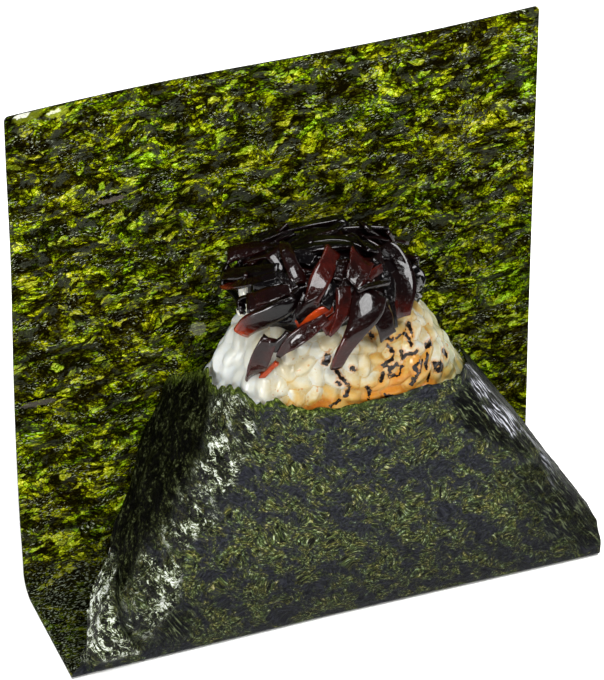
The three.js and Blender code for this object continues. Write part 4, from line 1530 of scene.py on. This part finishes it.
def fuse(mesh, settings):
    """Runs touching grains together, as steamed rice sticks, and makes the result plain."""
    carrier = new_piece("carrier", mesh)
    remesh = carrier.modifiers.new("fuse", "REMESH")
    remesh.mode = "VOXEL"
    remesh.voxel_size = settings.voxel
    soften = carrier.modifiers.new("soften", "SMOOTH")
    soften.factor = 0.5
    soften.iterations = settings.softness
    fused = plain_copy(carrier, "rice_shown")
    bpy.data.objects.remove(carrier)
    fused.shade_smooth()
    return fused


def even_out(mesh):
    """Lets the fused grains sink into one another, most on the left, where rice is moist."""
    points = points_of(mesh)
    share = EVEN["everywhere"] + EVEN["left"] * smooth_step(-3, -13, points[:, 0])
    ends = read(mesh.edges, "vertices", 2, np.int32)
    a, b = ends.T
    count = np.bincount(ends.ravel(), minlength=len(points))[:, None]
    for _ in range(EVEN["rounds"]):
        around = np.zeros_like(points)
        np.add.at(around, a, points[b])
        np.add.at(around, b, points[a])
        points = lerp(points, around / count, share[:, None])
    set_points(mesh, points)


def nearest_grains(points, laid):
    """For each point: the grain it is on, and how far it is from that grain's edge."""
    centres = laid.mean(1)
    axis = laid[:, -1] - laid[:, 0]
    length = np.linalg.norm(axis, axis=1)
    axis = axis / length[:, None]
    girth = np.linalg.norm(laid - centres[:, None], axis=2).min(1)
    tree = kdtree.KDTree(len(centres))
    for i, centre in enumerate(centres):
        tree.insert(centre, i)
    tree.balance()
    near = np.array([[hit[1] for hit in tree.find_n(p, NEAR_GRAINS)] for p in points])
    offset = points[:, None] - centres[near]
    run = np.einsum("ijk,ijk->ij", offset, axis[near])
    side = np.linalg.norm(offset - run[..., None] * axis[near], axis=2)
    reach = np.hypot(run / (length[near] / 2), side / (girth[near] * GIRTH_SHARE))
    order = np.sort(reach, axis=1)
    first = near[np.arange(len(points)), reach.argmin(1)]
    return first, (order[:, 1] - order[:, 0]) * girth[first]


def distance_to_marks(points):
    """How far each point of the front is, seen straight on, from the nearest stroke of char."""
    nearest = np.full(len(points), FAR_FROM_CHAR)
    _, y, z = points.T
    shown = np.flatnonzero((z > GRILLED["above"]) & (y < GRILLED["in_front_of"]))
    own = points[shown][:, [0, 2]]
    best = nearest[shown]
    for stroke in CHAR_MARKS:
        corners = np.array(stroke)
        for a, b in zip(corners, corners[1:]):
            k = np.clip((own - a) @ (b - a) / max((b - a) @ (b - a), 1e-6), 0, 1)
            best = np.minimum(best, np.linalg.norm(own - a - k[:, None] * (b - a), axis=1))
    nearest[shown] = best
    return nearest


def browning(points):
    """How browned the rice is: most along the edge of the flap and towards the right."""
    x, y, z = points.T
    over_edge = z - flap_height(x) + 1.0
    facing = smooth_step(3, -3, y)
    band_top = 8.5 + 1.0 * smooth_step(0, 16, x)
    spread = smooth_step(-13, -4, x) * (1 - 0.45 * smooth_step(9, 16, x))
    band = smooth_step(band_top, 1.2, over_edge) * spread * (1 - 0.4 * smooth_step(20, 24, x))
    cream = smooth_step(-19, -7, x) * (1 + 1.3 * smooth_step(1, 12, x))
    cream *= 1 - 0.6 * smooth_step(18, 23, x)
    behind = 0.08 * smooth_step(-5, 15, x)
    return facing * (0.14 * cream + 0.5 * band) + (1 - facing) * behind


def rice_colour_fields(mesh, laid, seed):
    """Keeps what the material needs to know at each point of the fused grains."""
    points = points_of(mesh)
    first, seam = nearest_grains(points, laid)
    tones = np.random.default_rng(seed).random(len(laid))
    store(mesh, "seam", seam)
    store(mesh, "grain_tone", tones[first])
    store(mesh, "browned", browning(points))
    store(mesh, "from_char", distance_to_marks(points))


def plain_colour_fields(mesh):
    """The same for the grains inside the wrap: steamed, neither browned nor charred."""
    plain = {"seam": 1.0, "grain_tone": 0.5, "browned": 0.0, "from_char": FAR_FROM_CHAR}
    for name, value in plain.items():
        store(mesh, name, np.full(len(mesh.vertices), value))


# ---- kelp ----

STRIP = {
    "thickness": 0.75,
    "steps": 16,
    "wobble": 0.12,
    "wobble_size": 2.4,
    "swell": 0.07,
    "cup": 0.25,
    "cut": 0.45,
    "painted_rim_glow": 0.10,
}
# Places round a strip's section: across it from -1 to 1, and through it from -1 to 1.
ACROSS = (-0.95, -0.64, -0.32, 0, 0.32, 0.64, 0.95)
SECTION = [(a, -1) for a in ACROSS] + [(1, -0.35), (1, 0.35)]
SECTION += [(a, 1) for a in reversed(ACROSS)] + [(-1, 0.35), (-1, -0.35)]

# The strips that show: points along each, its widths, how far its face is turned from straight ahead
# (0) to straight up (1.57), and how red it is from 0 to 1; the red is partly the kelp's own colour and
# partly painted light through thin kelp.
SHOWN_STRIPS = [
    dict(
        path=((-4.6, -2.1, 80.4), (-5.1, -6.8, 79.2), (-4.3, -9.8, 76.5)),
        width=(2.1, 2.7, 2.9), face=(1, 1.1, 1), tone=(0.35, 0.35, 0.4),
    ),
    dict(
        path=((3.1, -6.4, 79.9), (0.2, -10.2, 78.9), (-2.3, -12.5, 77.1), (-3.9, -13.7, 74.7)),
        width=(3.6, 3.6, 3.5, 3.0), face=(0.3, 0.5, 1, 0.5), tone=(0.6, 0.62, 0.6, 0.5),
    ),
    dict(
        path=((2.6, -12.9, 76.1), (1.4, -15.7, 73.1), (-1.8, -17.4, 69.3)),
        width=(3.0, 2.6, 0.5), face=(0.2, 0.2, 0.3), tone=(0.5, 0.62, 0.6),
    ),
    dict(
        path=((7.5, -14.3, 74.8), (5.7, -16.8, 72.8), (2.1, -18.9, 68.7), (-0.8, -18.6, 62.6)),
        width=(6.5, 5.3, 2.8, 2.4), face=(1.0, 0.9, 0.3, 0.0), tone=(0.3, 0.35, 0.55, 0.6),
    ),
    dict(
        path=((4.6, -14.9, 75.9), (7.6, -14.3, 76), (11.8, -12.7, 74.4)),
        width=(1.0, 1.2, 1.0), face=(1.6, 1.4, 1.6), tone=(0.2, 0.2, 0.2),
    ),
    dict(
        path=((8.8, -15, 71.5), (9.2, -16.4, 69.2), (9.8, -17.2, 66.1)),
        width=(3.4, 3.5, 3.3), face=(0.2, 0.2, 0.15), tone=(0.3, 0.35, 0.38),
    ),
    dict(
        path=((13.5, -3.8, 76.3), (15.5, -7.3, 74.3), (15.2, -11.4, 71.9), (13.6, -14.4, 67.5)),
        width=(3.6, 4.9, 4.6, 3.3), face=(0.25, 0.2, 0.1, 0.2), tone=(0.25, 0.25, 0.3, 0.7),
    ),
    dict(
        path=((19.4, -3.5, 70), (20.9, -5.5, 68.1), (18.6, -8.2, 68.8), (20, -7, 65)),
        width=(2.0, 2.6, 2.2, 1.6), face=(0.9, 0.2, 1.2, 0.4), tone=(0.05, 0.1, 0.05, 0.1),
    ),
    dict(
        path=((8, -8.3, 78.4), (6.2, -11.4, 77.8), (4.3, -13.1, 76.5)),
        width=(4.8, 4.6, 3.2), face=(0.45, 0.95, 1.0), tone=(0.62, 0.5, 0.4),
    ),
    dict(
        path=((3.8, -9.1, 78.5), (1.9, -11.9, 77.2)),
        width=(2.3, 1.8), face=(1, 1), tone=(0.3, 0.3),
    ),
    dict(
        path=((-2.7, 0, 78.5), (1.7, 1.2, 78.7), (10.4, 1.7, 77.2), (17.6, -0.8, 74.3)),
        width=(1.4, 2.6, 2.8, 1.3), face=(1.5, 1.7, 1.9, 1.6), tone=(0.1, 0.1, 0.12, 0.1),
    ),
    dict(
        path=((-6.6, 6.1, 76.6), (-0.9, 5.4, 77.7), (3.8, 4.7, 78.3), (9.4, 4, 78.5)),
        width=(1.8, 2.5, 2.5, 1.9), face=(1.2, 1.8, 1.9, 1.6), tone=(0.1, 0.1, 0.08, 0.1),
    ),
    dict(
        path=((6.7, 3.1, 77.8), (8.6, 2.6, 79), (9.6, 1.9, 77.2)),
        width=(0.7, 0.8, 0.6), face=(1, 1, 1), tone=(0.1, 0.1, 0.1),
    ),
    dict(
        path=((-12.7, 6.2, 74.2), (-8, 5.3, 75.4), (-3.6, 3.3, 76.5)),
        width=(3.2, 2.9, 2.4), face=(1.2, 1.3, 1.4), tone=(0.42, 0.3, 0.15),
    ),
    dict(
        path=((-10, 4.5, 73.5), (-7.1, 3.9, 74.6), (-5.2, -0.4, 78.1)),
        width=(1.3, 1.2, 1.0), face=(1.0, 1.0, 1.1), tone=(0.1, 0.1, 0.1),
    ),
    dict(
        path=((-13.8, 4.8, 71.5), (-10.5, -1.6, 75.1), (-7.2, -5.4, 77.7)),
        width=(2.5, 2.6, 2.2), face=(0.8, 0.7, 0.9), tone=(0.3, 0.12, 0.1),
    ),
    dict(
        path=((-14.3, 3.7, 69.5), (-11.7, -3.3, 74.4), (-7.6, -7, 77.5)),
        width=(1.7, 1.7, 1.5), face=(1.1, 0.9, 0.9), tone=(0.85, 0.3, 0.1),
    ),
    dict(
        path=((-7.7, -6.2, 77.5), (-5.9, -11.1, 76.6)),
        width=(1.5, 1.5), face=(1, 1), tone=(0.1, 0.2),
    ),
    dict(
        path=((-12.8, -6.2, 72.4), (-9.8, -9.1, 75), (-6.4, -10.6, 76.6)),
        width=(2.7, 2.8, 2.2), face=(0.8, 0.9, 0.9), tone=(0.5, 0.35, 0.25),
    ),
    dict(
        path=((-12.2, -6.2, 72.6), (-14, -3.9, 70.7), (-14.2, -6.2, 70)),
        width=(1.6, 2.0, 1.4), face=(0.3, 0.0, -0.2), tone=(0.2, 0.15, 0.15),
    ),
    dict(
        path=((-15.2, -7.6, 66.6), (-12.7, -10.2, 70.6), (-9.2, -12.1, 73.4), (-6.1, -12.4, 75.2)),
        width=(3.9, 4.7, 4.1, 2.2), face=(0.2, 0.1, 0.2, 0.3), tone=(1.0, 0.5, 0.1, 0.1),
    ),
    dict(
        path=((-6.5, -13.7, 70.2), (-3.5, -14.4, 71.9), (0, -14.4, 73.2)),
        width=(2.3, 2.4, 2.0), face=(0.3, 0.3, 0.3), tone=(0.95, 1.0, 0.8),
    ),
    dict(
        path=((-10.6, -14.5, 65), (-7.5, -15.8, 69), (-4.2, -16.3, 71.4), (-1.8, -15.9, 72.5)),
        width=(0.9, 2.7, 2.9, 1.8), face=(0.5, 0.85, 0.8, 0.4), tone=(0.5, 0.5, 0.52, 0.55),
    ),
    dict(
        path=((-2.4, -16, 69.7), (0.4, -16, 71.6), (3.5, -15.2, 72.8)),
        width=(2.4, 2.8, 2.4), face=(0.1, 0.1, 0.2), tone=(0.68, 0.6, 0.5),
    ),
    dict(
        path=((-11.5, -12.7, 68.1), (-13.1, -12.6, 64.3), (-13.3, -7.2, 55.6)),
        width=(3.1, 3.5, 2.9), face=(1.1, 0.85, 0.4), tone=(0.45, 0.55, 0.6),
    ),
    dict(
        path=((-12.7, -11.6, 67), (-10.9, -13.6, 66.7), (-8.2, -14.5, 69.6)),
        width=(2.6, 2.6, 2.0), face=(0.1, 0.2, 0.3), tone=(0.2, 0.25, 0.3),
    ),
    dict(
        path=((-10.7, -14.2, 63.3), (-12.3, -11, 58.5), (-14.3, -8, 52.8)),
        width=(0.9, 0.9, 0.8), face=(0.5, 0.5, 0.4), tone=(1.0, 1.0, 1.0),
    ),
    dict(
        path=((-4.8, -12.7, 76.4), (-6.5, -13.9, 74.4), (-7.7, -14.4, 71.9)),
        width=(0.7, 0.6, 0.5), face=(0.9, 0.9, 0.9), tone=(0.2, 0.2, 0.2),
    ),
    dict(
        path=((-1, -13.3, 74.5), (-4, -13.9, 73.3), (-6.6, -13.8, 71.5)),
        width=(4.0, 4.2, 3.4), face=(0.1, 0.1, 0.1), tone=(0.45, 0.3, 0.15),
    ),
    dict(
        path=((1.1, -12.1, 76.5), (-0.3, -13.5, 75.3), (-1.4, -14.4, 73.6)),
        width=(2.2, 2.4, 2.2), face=(0.55, 0.55, 0.5), tone=(0.05, 0.05, 0.05),
    ),
    dict(
        path=((11.4, -13.9, 72.5), (11.7, -15.3, 69.8), (11.8, -16.1, 66.9)),
        width=(0.8, 0.7, 0.5), face=(0.5, 0.5, 0.5), tone=(0.15, 0.15, 0.15),
    ),
    dict(
        path=((-3.1, -3.2, 78.9), (2.4, -4.5, 79.8), (7.7, -5.2, 78.9)),
        width=(2.4, 2.6, 2.2), face=(1.5, 1.6, 1.5), tone=(0.08, 0.08, 0.08),
    ),
    dict(
        path=((0.2, -1.8, 79.3), (6.4, -3.1, 79.2), (11.7, -6.2, 77.1)),
        width=(2.2, 2.4, 2.2), face=(1.7, 1.8, 1.4), tone=(0.1, 0.1, 0.1),
    ),
    dict(
        path=((8.1, -11.7, 76.2), (11.3, -10, 76.2)),
        width=(1.8, 1.6), face=(0.4, 0.4), tone=(0.6, 0.6),
    ),
    dict(
        path=((-6.2, -4.1, 77.6), (-2.7, -5.1, 79), (-0.7, -7.1, 78.7)),
        width=(2.6, 2.8, 2.4), face=(0.2, 0.6, 0.4), tone=(0.05, 0.05, 0.05),
    ),
    dict(
        path=((-11.6, -4.5, 73.7), (-9, -7, 75.5), (-5.5, -8.8, 76.6)),
        width=(2.2, 2.4, 2.2), face=(0.5, 0.6, 0.5), tone=(0.08, 0.05, 0.05),
    ),
    dict(
        path=((9.5, -8.7, 76.7), (11.7, -11.2, 74.2), (11.6, -13.4, 71.3)),
        width=(2.8, 3.0, 2.4), face=(0.0, 0.1, 0.0), tone=(0.1, 0.08, 0.1),
    ),
    dict(
        path=((-8, -11.5, 72.7), (-5.2, -11.5, 75.2), (-0.9, -12, 76)),
        width=(3.0, 3.2, 2.6), face=(0.2, 0.2, 0.3), tone=(0.12, 0.1, 0.1),
    ),
]


def on_mound(side, rise, lift=0.0):
    """A place on the mound, by degrees to the right and degrees up from straight ahead."""
    a, b = math.radians(side), math.radians(rise)
    way = np.array([math.sin(a), -math.cos(a) * math.cos(b), math.cos(a) * math.sin(b)])
    normal = unit(way / MOUND_REACH)
    return MOUND_CENTRE + way * MOUND_REACH + normal * lift, normal


def curve_through(points, k):
    """The smooth curve through a few points, at shares k of its length."""
    points = np.array(points, float)
    knots = np.concatenate([[0], np.cumsum(np.linalg.norm(np.diff(points, axis=0), axis=1))])
    knots = knots / knots[-1]
    curve = np.zeros((len(k), 3))
    for i, point in enumerate(points):
        others = np.delete(knots, i)
        share = np.prod((k[:, None] - others) / (knots[i] - others), axis=1)
        curve += share[:, None] * point
    return curve


def along_strip(values, k):
    """A few evenly spaced values, run together, at shares k of the strip."""
    return np.interp(k, np.linspace(0, 1, len(values)), values)


def strip_rings(strip, rng):
    """One strip: the ring of points at each station along it, and each point's tone."""
    k = np.linspace(0, 1, STRIP["steps"] + 1)
    middle = curve_through(strip["path"], k)
    along = unit(np.gradient(middle, axis=0))
    if "normal" in strip:
        facing = np.tile(strip["normal"], (len(k), 1))
    else:
        face = along_strip(strip["face"], k)
        facing = np.stack([np.zeros_like(face), -np.cos(face), np.sin(face)], -1)
    up = unit(facing - along * np.sum(facing * along, axis=1, keepdims=True))
    across = np.cross(up, along)
    half_width = along_strip(strip["width"], k) / 2
    swelling = np.sin(k * rng.uniform(6, 12) + rng.uniform(0, 6))
    half_width = half_width * (1 + STRIP["swell"] * swelling)
    cup = rng.uniform(-STRIP["cup"], STRIP["cup"])
    cuts = rng.uniform(-STRIP["cut"], STRIP["cut"], 2)
    ends = np.clip(1 - 4 * k, 0, 1), np.clip(4 * k - 3, 0, 1)
    rings = []
    for a, b in SECTION:
        skew = a * half_width * (cuts[0] * ends[0] + cuts[1] * ends[1])
        lift = b * STRIP["thickness"] / 2 + cup * (a * a - 0.4) * half_width
        ring = middle + across * (a * half_width)[:, None]
        rings.append(ring + up * lift[:, None] + along * skew[:, None])
    rings = np.stack(rings, 1)
    sway = noise_at(rings, STRIP["wobble_size"], 3.0) + 0.5 * noise_at(rings, 1.1, 8.0)
    rings = rings + up[:, None, :] * (sway * STRIP["wobble"])[..., None]
    # Painted light: the rims are redder, as light through the thin edges.
    rim = np.abs([a for a, _ in SECTION]) ** 6
    tone = along_strip(strip["tone"], k)[:, None] + STRIP["painted_rim_glow"] * rim[None, :]
    return rings, tone


def strip_faces(count, around, start):
    """The side and end faces of one strip, whose points begin at start."""
    faces = []
    for i in range(count - 1):
        for j in range(around):
            a, b = start + i * around + j, start + i * around + (j + 1) % around
            faces.append((a, b, b + around, a + around))
    faces.append(tuple(start + j for j in reversed(range(around))))
    faces.append(tuple(start + (count - 1) * around + j for j in range(around)))
    return faces


# Where the strewn strips lie, in degrees round and up the mound, and where there are none:
# on the left of its front, and where their ends would hang over the white rice.
STREWN = {"rise": (48.0, 180.0), "side": (-66.0, 66.0), "golden": 0.618}
LEFT_FREE = {"side": -38.0, "rise": 128.0}
HANGS_OVER = {"x": -11.5, "z": 71.0}
# The gaps that the strips keep from the panel and from the solids' box.
PANEL_GAP = 1.0
BOX_GAP = 0.02


def strewn_strips(count, seed):
    """Slightly bowed strips that lie anyhow on the mound, lower where the placed ones show."""
    rng = np.random.default_rng(seed)
    strips = []
    for i in range(count):
        rise = lerp(*STREWN["rise"], (i + 0.5) / count)
        side = lerp(*STREWN["side"], (i * STREWN["golden"]) % 1)
        shown = smooth_step(118, 96, rise)
        if side < LEFT_FREE["side"] and rise < LEFT_FREE["rise"]:
            continue
        half = rng.uniform(4.0, 8.5)
        lift = rng.uniform(-0.7, 0.9) - 1.7 * shown - 0.02 * half**2
        centre, normal = on_mound(side, rise, lift)
        turn = rng.uniform(0, math.pi)
        over = unit(np.cross(normal, UP + 0.3 * rng.uniform(-1, 1, 3)))
        ahead = math.cos(turn) * over + math.sin(turn) * np.cross(normal, over)
        ahead = unit(ahead + normal * rng.uniform(-0.22, 0.22))
        bow = normal * rng.uniform(-0.3, 0.9)
        path = (centre - ahead * half, centre + bow, centre + ahead * half)
        strip = dict(
            path=path,
            width=tuple(rng.uniform(1.6, 4.2, 2)),
            normal=unit(normal + 0.35 * rng.uniform(-1, 1, 3)),
            tone=tuple(rng.uniform(0.0, 0.4) + np.array([0.0, 0.1])),
        )
        hangs = [place[0] < HANGS_OVER["x"] and place[2] < HANGS_OVER["z"] for place in path]
        if not any(hangs):
            strips.append(strip)
    return strips


def kelp_mesh(count, seed):
    """All strips, the placed ones and the strewn ones, as one mesh."""
    rng = np.random.default_rng(seed)
    points, faces, tones, start = [], [], [], 0
    for strip in SHOWN_STRIPS + strewn_strips(count, seed):
        rings, tone = strip_rings(strip, rng)
        faces += strip_faces(*rings.shape[:2], start)
        start += rings.shape[0] * rings.shape[1]
        points.append(rings.reshape(-1, 3))
        tones.append(tone.ravel())
    points = np.vstack(points)
    points[:, 1] = np.minimum(points[:, 1], BACK_Y - PANEL_GAP)
    low, high = [np.array(corner) / MM for corner in cad_box]
    points = np.clip(points, low + BOX_GAP, high - BOX_GAP)
    mesh = new_mesh("kelp_strips", points, faces)
    store(mesh, "tone", np.concatenate(tones))
    return mesh


def kelp_core_mesh():
    """The dark inside of the heap, which its strips lie on."""
    body = bmesh.new()
    bmesh.ops.create_icosphere(body, subdivisions=4, radius=1.0)
    mesh = bpy.data.meshes.new("kelp_core")
    body.to_mesh(mesh)
    body.free()
    round_points = points_of(mesh) * MM
    lumps = 1 + 0.05 * noise_at(round_points * MOUND_CORE_REACH, 5.0, 2.0)
    set_points(mesh, MOUND_CORE_CENTRE + round_points * MOUND_CORE_REACH * lumps[:, None])
    mesh.shade_smooth()
    store(mesh, "tone", np.full(len(mesh.vertices), 0.05))
    return mesh


# ---- stage ----

# The camera: degrees and millimetres, with the scale in pixels for each millimetre.
CAMERA = {
    "azimuth": -20.8,
    "elevation": 36.5,
    "distance": 955.0,
    "scale": 5.188,
    "offset": (-0.4, 44.9),
    "image_height": 680.0,
    "sensor": 36.0,
}


def make_camera():
    """A camera at the set angle and scale, with its aim moved by the offset."""
    a, e = math.radians(CAMERA["azimuth"]), math.radians(CAMERA["elevation"])
    back = Vector((math.sin(a) * math.cos(e), -math.cos(a) * math.cos(e), math.sin(e)))
    right = Vector((math.cos(a), math.sin(a), 0))
    up = back.cross(right)
    place = back * CAMERA["distance"] + right * CAMERA["offset"][0] + up * CAMERA["offset"][1]
    data = bpy.data.cameras.new("camera")
    data.sensor_width = CAMERA["sensor"]
    focal = CAMERA["scale"] * CAMERA["distance"]
    data.lens = focal * CAMERA["sensor"] / CAMERA["image_height"]
    data.clip_start, data.clip_end = 0.01, 20.0
    camera = bpy.data.objects.new("camera", data)
    turn = Matrix((right, up, back)).transposed().to_4x4()
    camera.matrix_world = Matrix.Translation(place * MM) @ turn
    bpy.context.scene.collection.objects.link(camera)
    bpy.context.scene.camera = camera


# The lights: where each one is, where it is aimed and how wide it is, in metres.
LIGHTS = {
    "key": ((0.08, -0.42, 0.85), (0, 0, 0.04), 0.44),
    "side": ((-0.74, -0.52, 0.24), (0, 0, 0.04), 0.24),
    "glint": ((-0.3, -0.8, 0.66), (0, 0, 0.06), 0.07),
    "back": ((0.0, 0.75, 0.8), (0, 0.12, 0), 0.5),
}


def area_light(name, place, target, size, power):
    """A white square light at a place, aimed at a target, all in metres."""
    data = bpy.data.lights.new(name, "AREA")
    data.shape = "SQUARE"
    data.size = size
    data.energy = power
    light = bpy.data.objects.new(name, data)
    way = Vector(place) - Vector(target)
    turn = way.to_track_quat("Z", "Y").to_matrix().to_4x4()
    light.matrix_world = Matrix.Translation(place) @ turn
    bpy.context.scene.collection.objects.link(light)


# ---- settings ----


def length_property(name, description, default):
    """A length that a user can set."""
    return FloatProperty(
        name=name,
        description=description,
        default=default,
        unit="LENGTH",
        min=0.0,
        precision=5,
    )


def power_property(name, description, default):
    """A light's power that a user can set."""
    return FloatProperty(
        name=name,
        description=description,
        default=default,
        unit="POWER",
        min=0.0,
    )


def colour_property(name, description, value):
    """A colour that a user can set, from an sRGB hex number."""
    return FloatVectorProperty(
        name=name,
        description=description,
        default=linear(value)[:3],
        subtype="COLOR",
        size=3,
        min=0.0,
        max=1.0,
    )


class RiceBallSheetSettings(PropertyGroup):
    """Sizes and colours of the seaweed sheet"""

    thickness: length_property("Thickness", "Thickness of the seaweed sheet", 0.00032)
    wrinkle: FloatProperty(
        name="Wrinkle",
        description="Depth of the crumples, as a share",
        default=1.0,
        min=0.0,
        soft_max=2.0,
        subtype="FACTOR",
    )
    # The brightest leaf on the mat side: partly its own colour, partly painted light through thin leaf.
    thin_leaf: colour_property("Thin leaf", "Colour of thin leaf on the mat side", 0xB2BE20)
    slate: colour_property("Slate", "Colour of the glossy side between its wisps", 0x17181E)
    # Painted sheen: the silver stands for light reflected from the crumpled creases.
    painted_silver: colour_property("Silver", "Colour of the frayed creases", 0xDCE0DA)


class RiceBallRiceSettings(PropertyGroup):
    """Sizes and colours of the rice"""

    grain_length: length_property("Grain length", "Length of a cooked grain", 0.0057)
    grain_width: length_property("Grain width", "Width of a cooked grain", 0.0029)
    grain_height: length_property("Grain height", "Height of a cooked grain", 0.0027)
    grain_sunk: length_property("Sunk", "How deep a grain sits in the core", 0.00048)
    spacing: length_property("Spacing", "Least distance between two grains", 0.0027)
    voxel: length_property("Fusing size", "Size at which touching grains run together", 0.00029)
    softness: IntProperty(name="Softness", description="Rounds of smoothing", default=2, min=0)
    seed: IntProperty(name="Seed", description="Seed of the grains' places", default=5)
    steamed: colour_property("Steamed", "Colour of the white rice", 0xB6B9B6)
    toasted: colour_property("Toasted", "Colour of the browned rice", 0xA66E22)
    char: colour_property("Char", "Colour of the char marks", 0x120B07)


class RiceBallKelpSettings(PropertyGroup):
    """Numbers and colours of the kelp strips"""

    count: IntProperty(
        name="Strewn strips",
        description="Strips besides the placed ones",
        default=70,
        min=1,
    )
    seed: IntProperty(name="Seed", description="Seed of the strewn strips", default=41)
    dark: colour_property("Dark", "Colour of the darkest kelp", 0x020102)
    # The red of thin kelp is partly painted light through it.
    red: colour_property("Red", "Colour of thin, lit kelp", 0x661C08)


class RiceBallStageSettings(PropertyGroup):
    """The floor and the lights"""

    floor: length_property("Floor", "Width of the floor", 4.0)
    floor_colour: colour_property("Floor colour", "Colour of the floor", 0xF4F4F2)
    key: power_property("Key light", "Power of the key light", 12.0)
    side: power_property("Side light", "Power of the low side light", 6.0)
    glint: power_property("Glint light", "Power of the small light in front", 0.8)
    back: power_property("Back light", "Power of the light behind the sheet", 14.0)
    fill: FloatProperty(
        name="Sky",
        description="Strength of the light all round",
        default=0.12,
        min=0.0,
    )


# ---- operators ----


class RICEBALL_OT_sheet(Operator):
    """Builds the seaweed sheet, with its rough inner side and its glossy outer side"""

    bl_idname = "riceball.sheet"
    bl_label = "Seaweed sheet"

    def execute(self, context):
        settings = context.scene.riceball_sheet
        mesh = sheet_mesh(settings.thickness / MM, settings.wrinkle)
        mesh.materials.append(rough_side_material(settings))
        mesh.materials.append(smooth_side_material(settings))
        piece = new_piece("seaweed_leaf", mesh)
        settle(piece, "seaweed_sheet")
        return {"FINISHED"}


class RICEBALL_OT_rice(Operator):
    """Builds the pressed rice: grains fused where they show, over a core"""

    bl_idname = "riceball.rice"
    bl_label = "Rice"

    def execute(self, context):
        settings = context.scene.riceball_rice
        material = rice_material(settings)
        core = pressed_core()
        grains = run_tree(
            core.copy(),
            grain_tree(),
            {
                "Spacing": settings.spacing,
                "Length": settings.grain_length,
                "Width": settings.grain_width,
                "Height": settings.grain_height,
                "Sunk": settings.grain_sunk,
                "Seed": settings.seed,
                "Material": material,
            },
        )
        grain_faces = [tuple(p.vertices) for p in grains.polygons if max(p.vertices) < GRAIN_POINTS]
        laid = press(points_of(grains)).reshape(-1, GRAIN_POINTS, 3)
        laid = np.vstack([laid, shoulder_grains(laid)])
        height = laid.mean(1)[:, 2]
        shown = grain_part(laid[height > FUSED_ABOVE], grain_faces, "shown_grains")
        top = fuse(joined("top", [cut_off(core, TOP_CUT, True), shown]), settings)
        even_out(top)
        rice_colour_fields(top, laid[height > FUSED_ABOVE - COLOUR_MARGIN], settings.seed)
        hidden = grain_part(laid[height <= FUSED_ABOVE], grain_faces, "hidden_grains")
        base = joined("base", [cut_off(core, CORE_CUT, False), hidden])
        plain_colour_fields(base)
        for name, mesh in (("rice_pressed_top", top), ("rice_wrapped_base", base)):
            mesh.materials.clear()
            mesh.materials.append(material)
            settle(new_piece(name, mesh), "rice_ball")
        return {"FINISHED"}


class RICEBALL_OT_kelp(Operator):
    """Builds the heap of simmered kelp strips over its core"""

    bl_idname = "riceball.kelp"
    bl_label = "Kelp"

    def execute(self, context):
        settings = context.scene.riceball_kelp
        material = kelp_material(settings)
        strips = kelp_mesh(settings.count, settings.seed)
        for name, mesh in (("kelp_strips", strips), ("kelp_core", kelp_core_mesh())):
            mesh.materials.append(material)
            settle(new_piece(name, mesh), "kelp_heap")
        return {"FINISHED"}


class RICEBALL_OT_stage(Operator):
    """Makes the floor, the lights and the camera"""

    bl_idname = "riceball.stage"
    bl_label = "Stage"

    def execute(self, context):
        settings = context.scene.riceball_stage
        half = settings.floor / 2 / MM
        corners = [(x * half, y * half, 0) for x, y in ((-1, -1), (1, -1), (1, 1), (-1, 1))]
        mesh = new_mesh("floor", corners, [(0, 1, 2, 3)])
        material, tree, shader = new_material("matt_white_board")
        feed(tree, shader, {"Base Color": paint(settings.floor_colour), "Roughness": 0.9})
        mesh.materials.append(material)
        floor = new_piece("floor", mesh)
        world = context.scene.world or bpy.data.worlds.new("world")
        context.scene.world = world
        world.use_nodes = True
        background = world.node_tree.nodes["Background"]
        background.inputs["Color"].default_value = linear(0xFFFFFF)
        background.inputs["Strength"].default_value = settings.fill
        for name, (place, target, size) in LIGHTS.items():
            area_light(name, place, target, size, getattr(settings, name))
        context.scene.view_settings.view_transform = "Standard"
        make_camera()
        return {"FINISHED"}


class RICEBALL_PT_panel(Panel):
    """The rice ball's pieces and sizes"""

    bl_label = "Rice Ball"
    bl_idname = "RICEBALL_PT_panel"
    bl_space_type = "VIEW_3D"
    bl_region_type = "UI"
    bl_category = "Rice Ball"

    def draw(self, context):
        for group, operator in (
            ("riceball_sheet", "riceball.sheet"),
            ("riceball_rice", "riceball.rice"),
            ("riceball_kelp", "riceball.kelp"),
            ("riceball_stage", "riceball.stage"),
        ):
            box = self.layout.box()
            settings = getattr(context.scene, group)
            for name in settings.__annotations__:
                box.prop(settings, name)
            box.operator(operator)


SETTINGS = {
    "riceball_sheet": RiceBallSheetSettings,
    "riceball_rice": RiceBallRiceSettings,
    "riceball_kelp": RiceBallKelpSettings,
    "riceball_stage": RiceBallStageSettings,
}
CLASSES = [
    *SETTINGS.values(),
    RICEBALL_OT_sheet,
    RICEBALL_OT_rice,
    RICEBALL_OT_kelp,
    RICEBALL_OT_stage,
    RICEBALL_PT_panel,
]


def register():
    """Adds the classes and their settings to Blender."""
    for kind in CLASSES:
        bpy.utils.register_class(kind)
    for name, kind in SETTINGS.items():
        setattr(bpy.types.Scene, name, PointerProperty(type=kind))


def unregister():
    """Takes the classes and their settings out again."""
    for name in SETTINGS:
        delattr(bpy.types.Scene, name)
    for kind in reversed(CLASSES):
        bpy.utils.unregister_class(kind)


def main():
    """Builds every piece and the stage."""
    register()
    bpy.ops.riceball.sheet()
    bpy.ops.riceball.rice()
    bpy.ops.riceball.kelp()
    bpy.ops.riceball.stage()


if __name__ == "__main__":
    main()
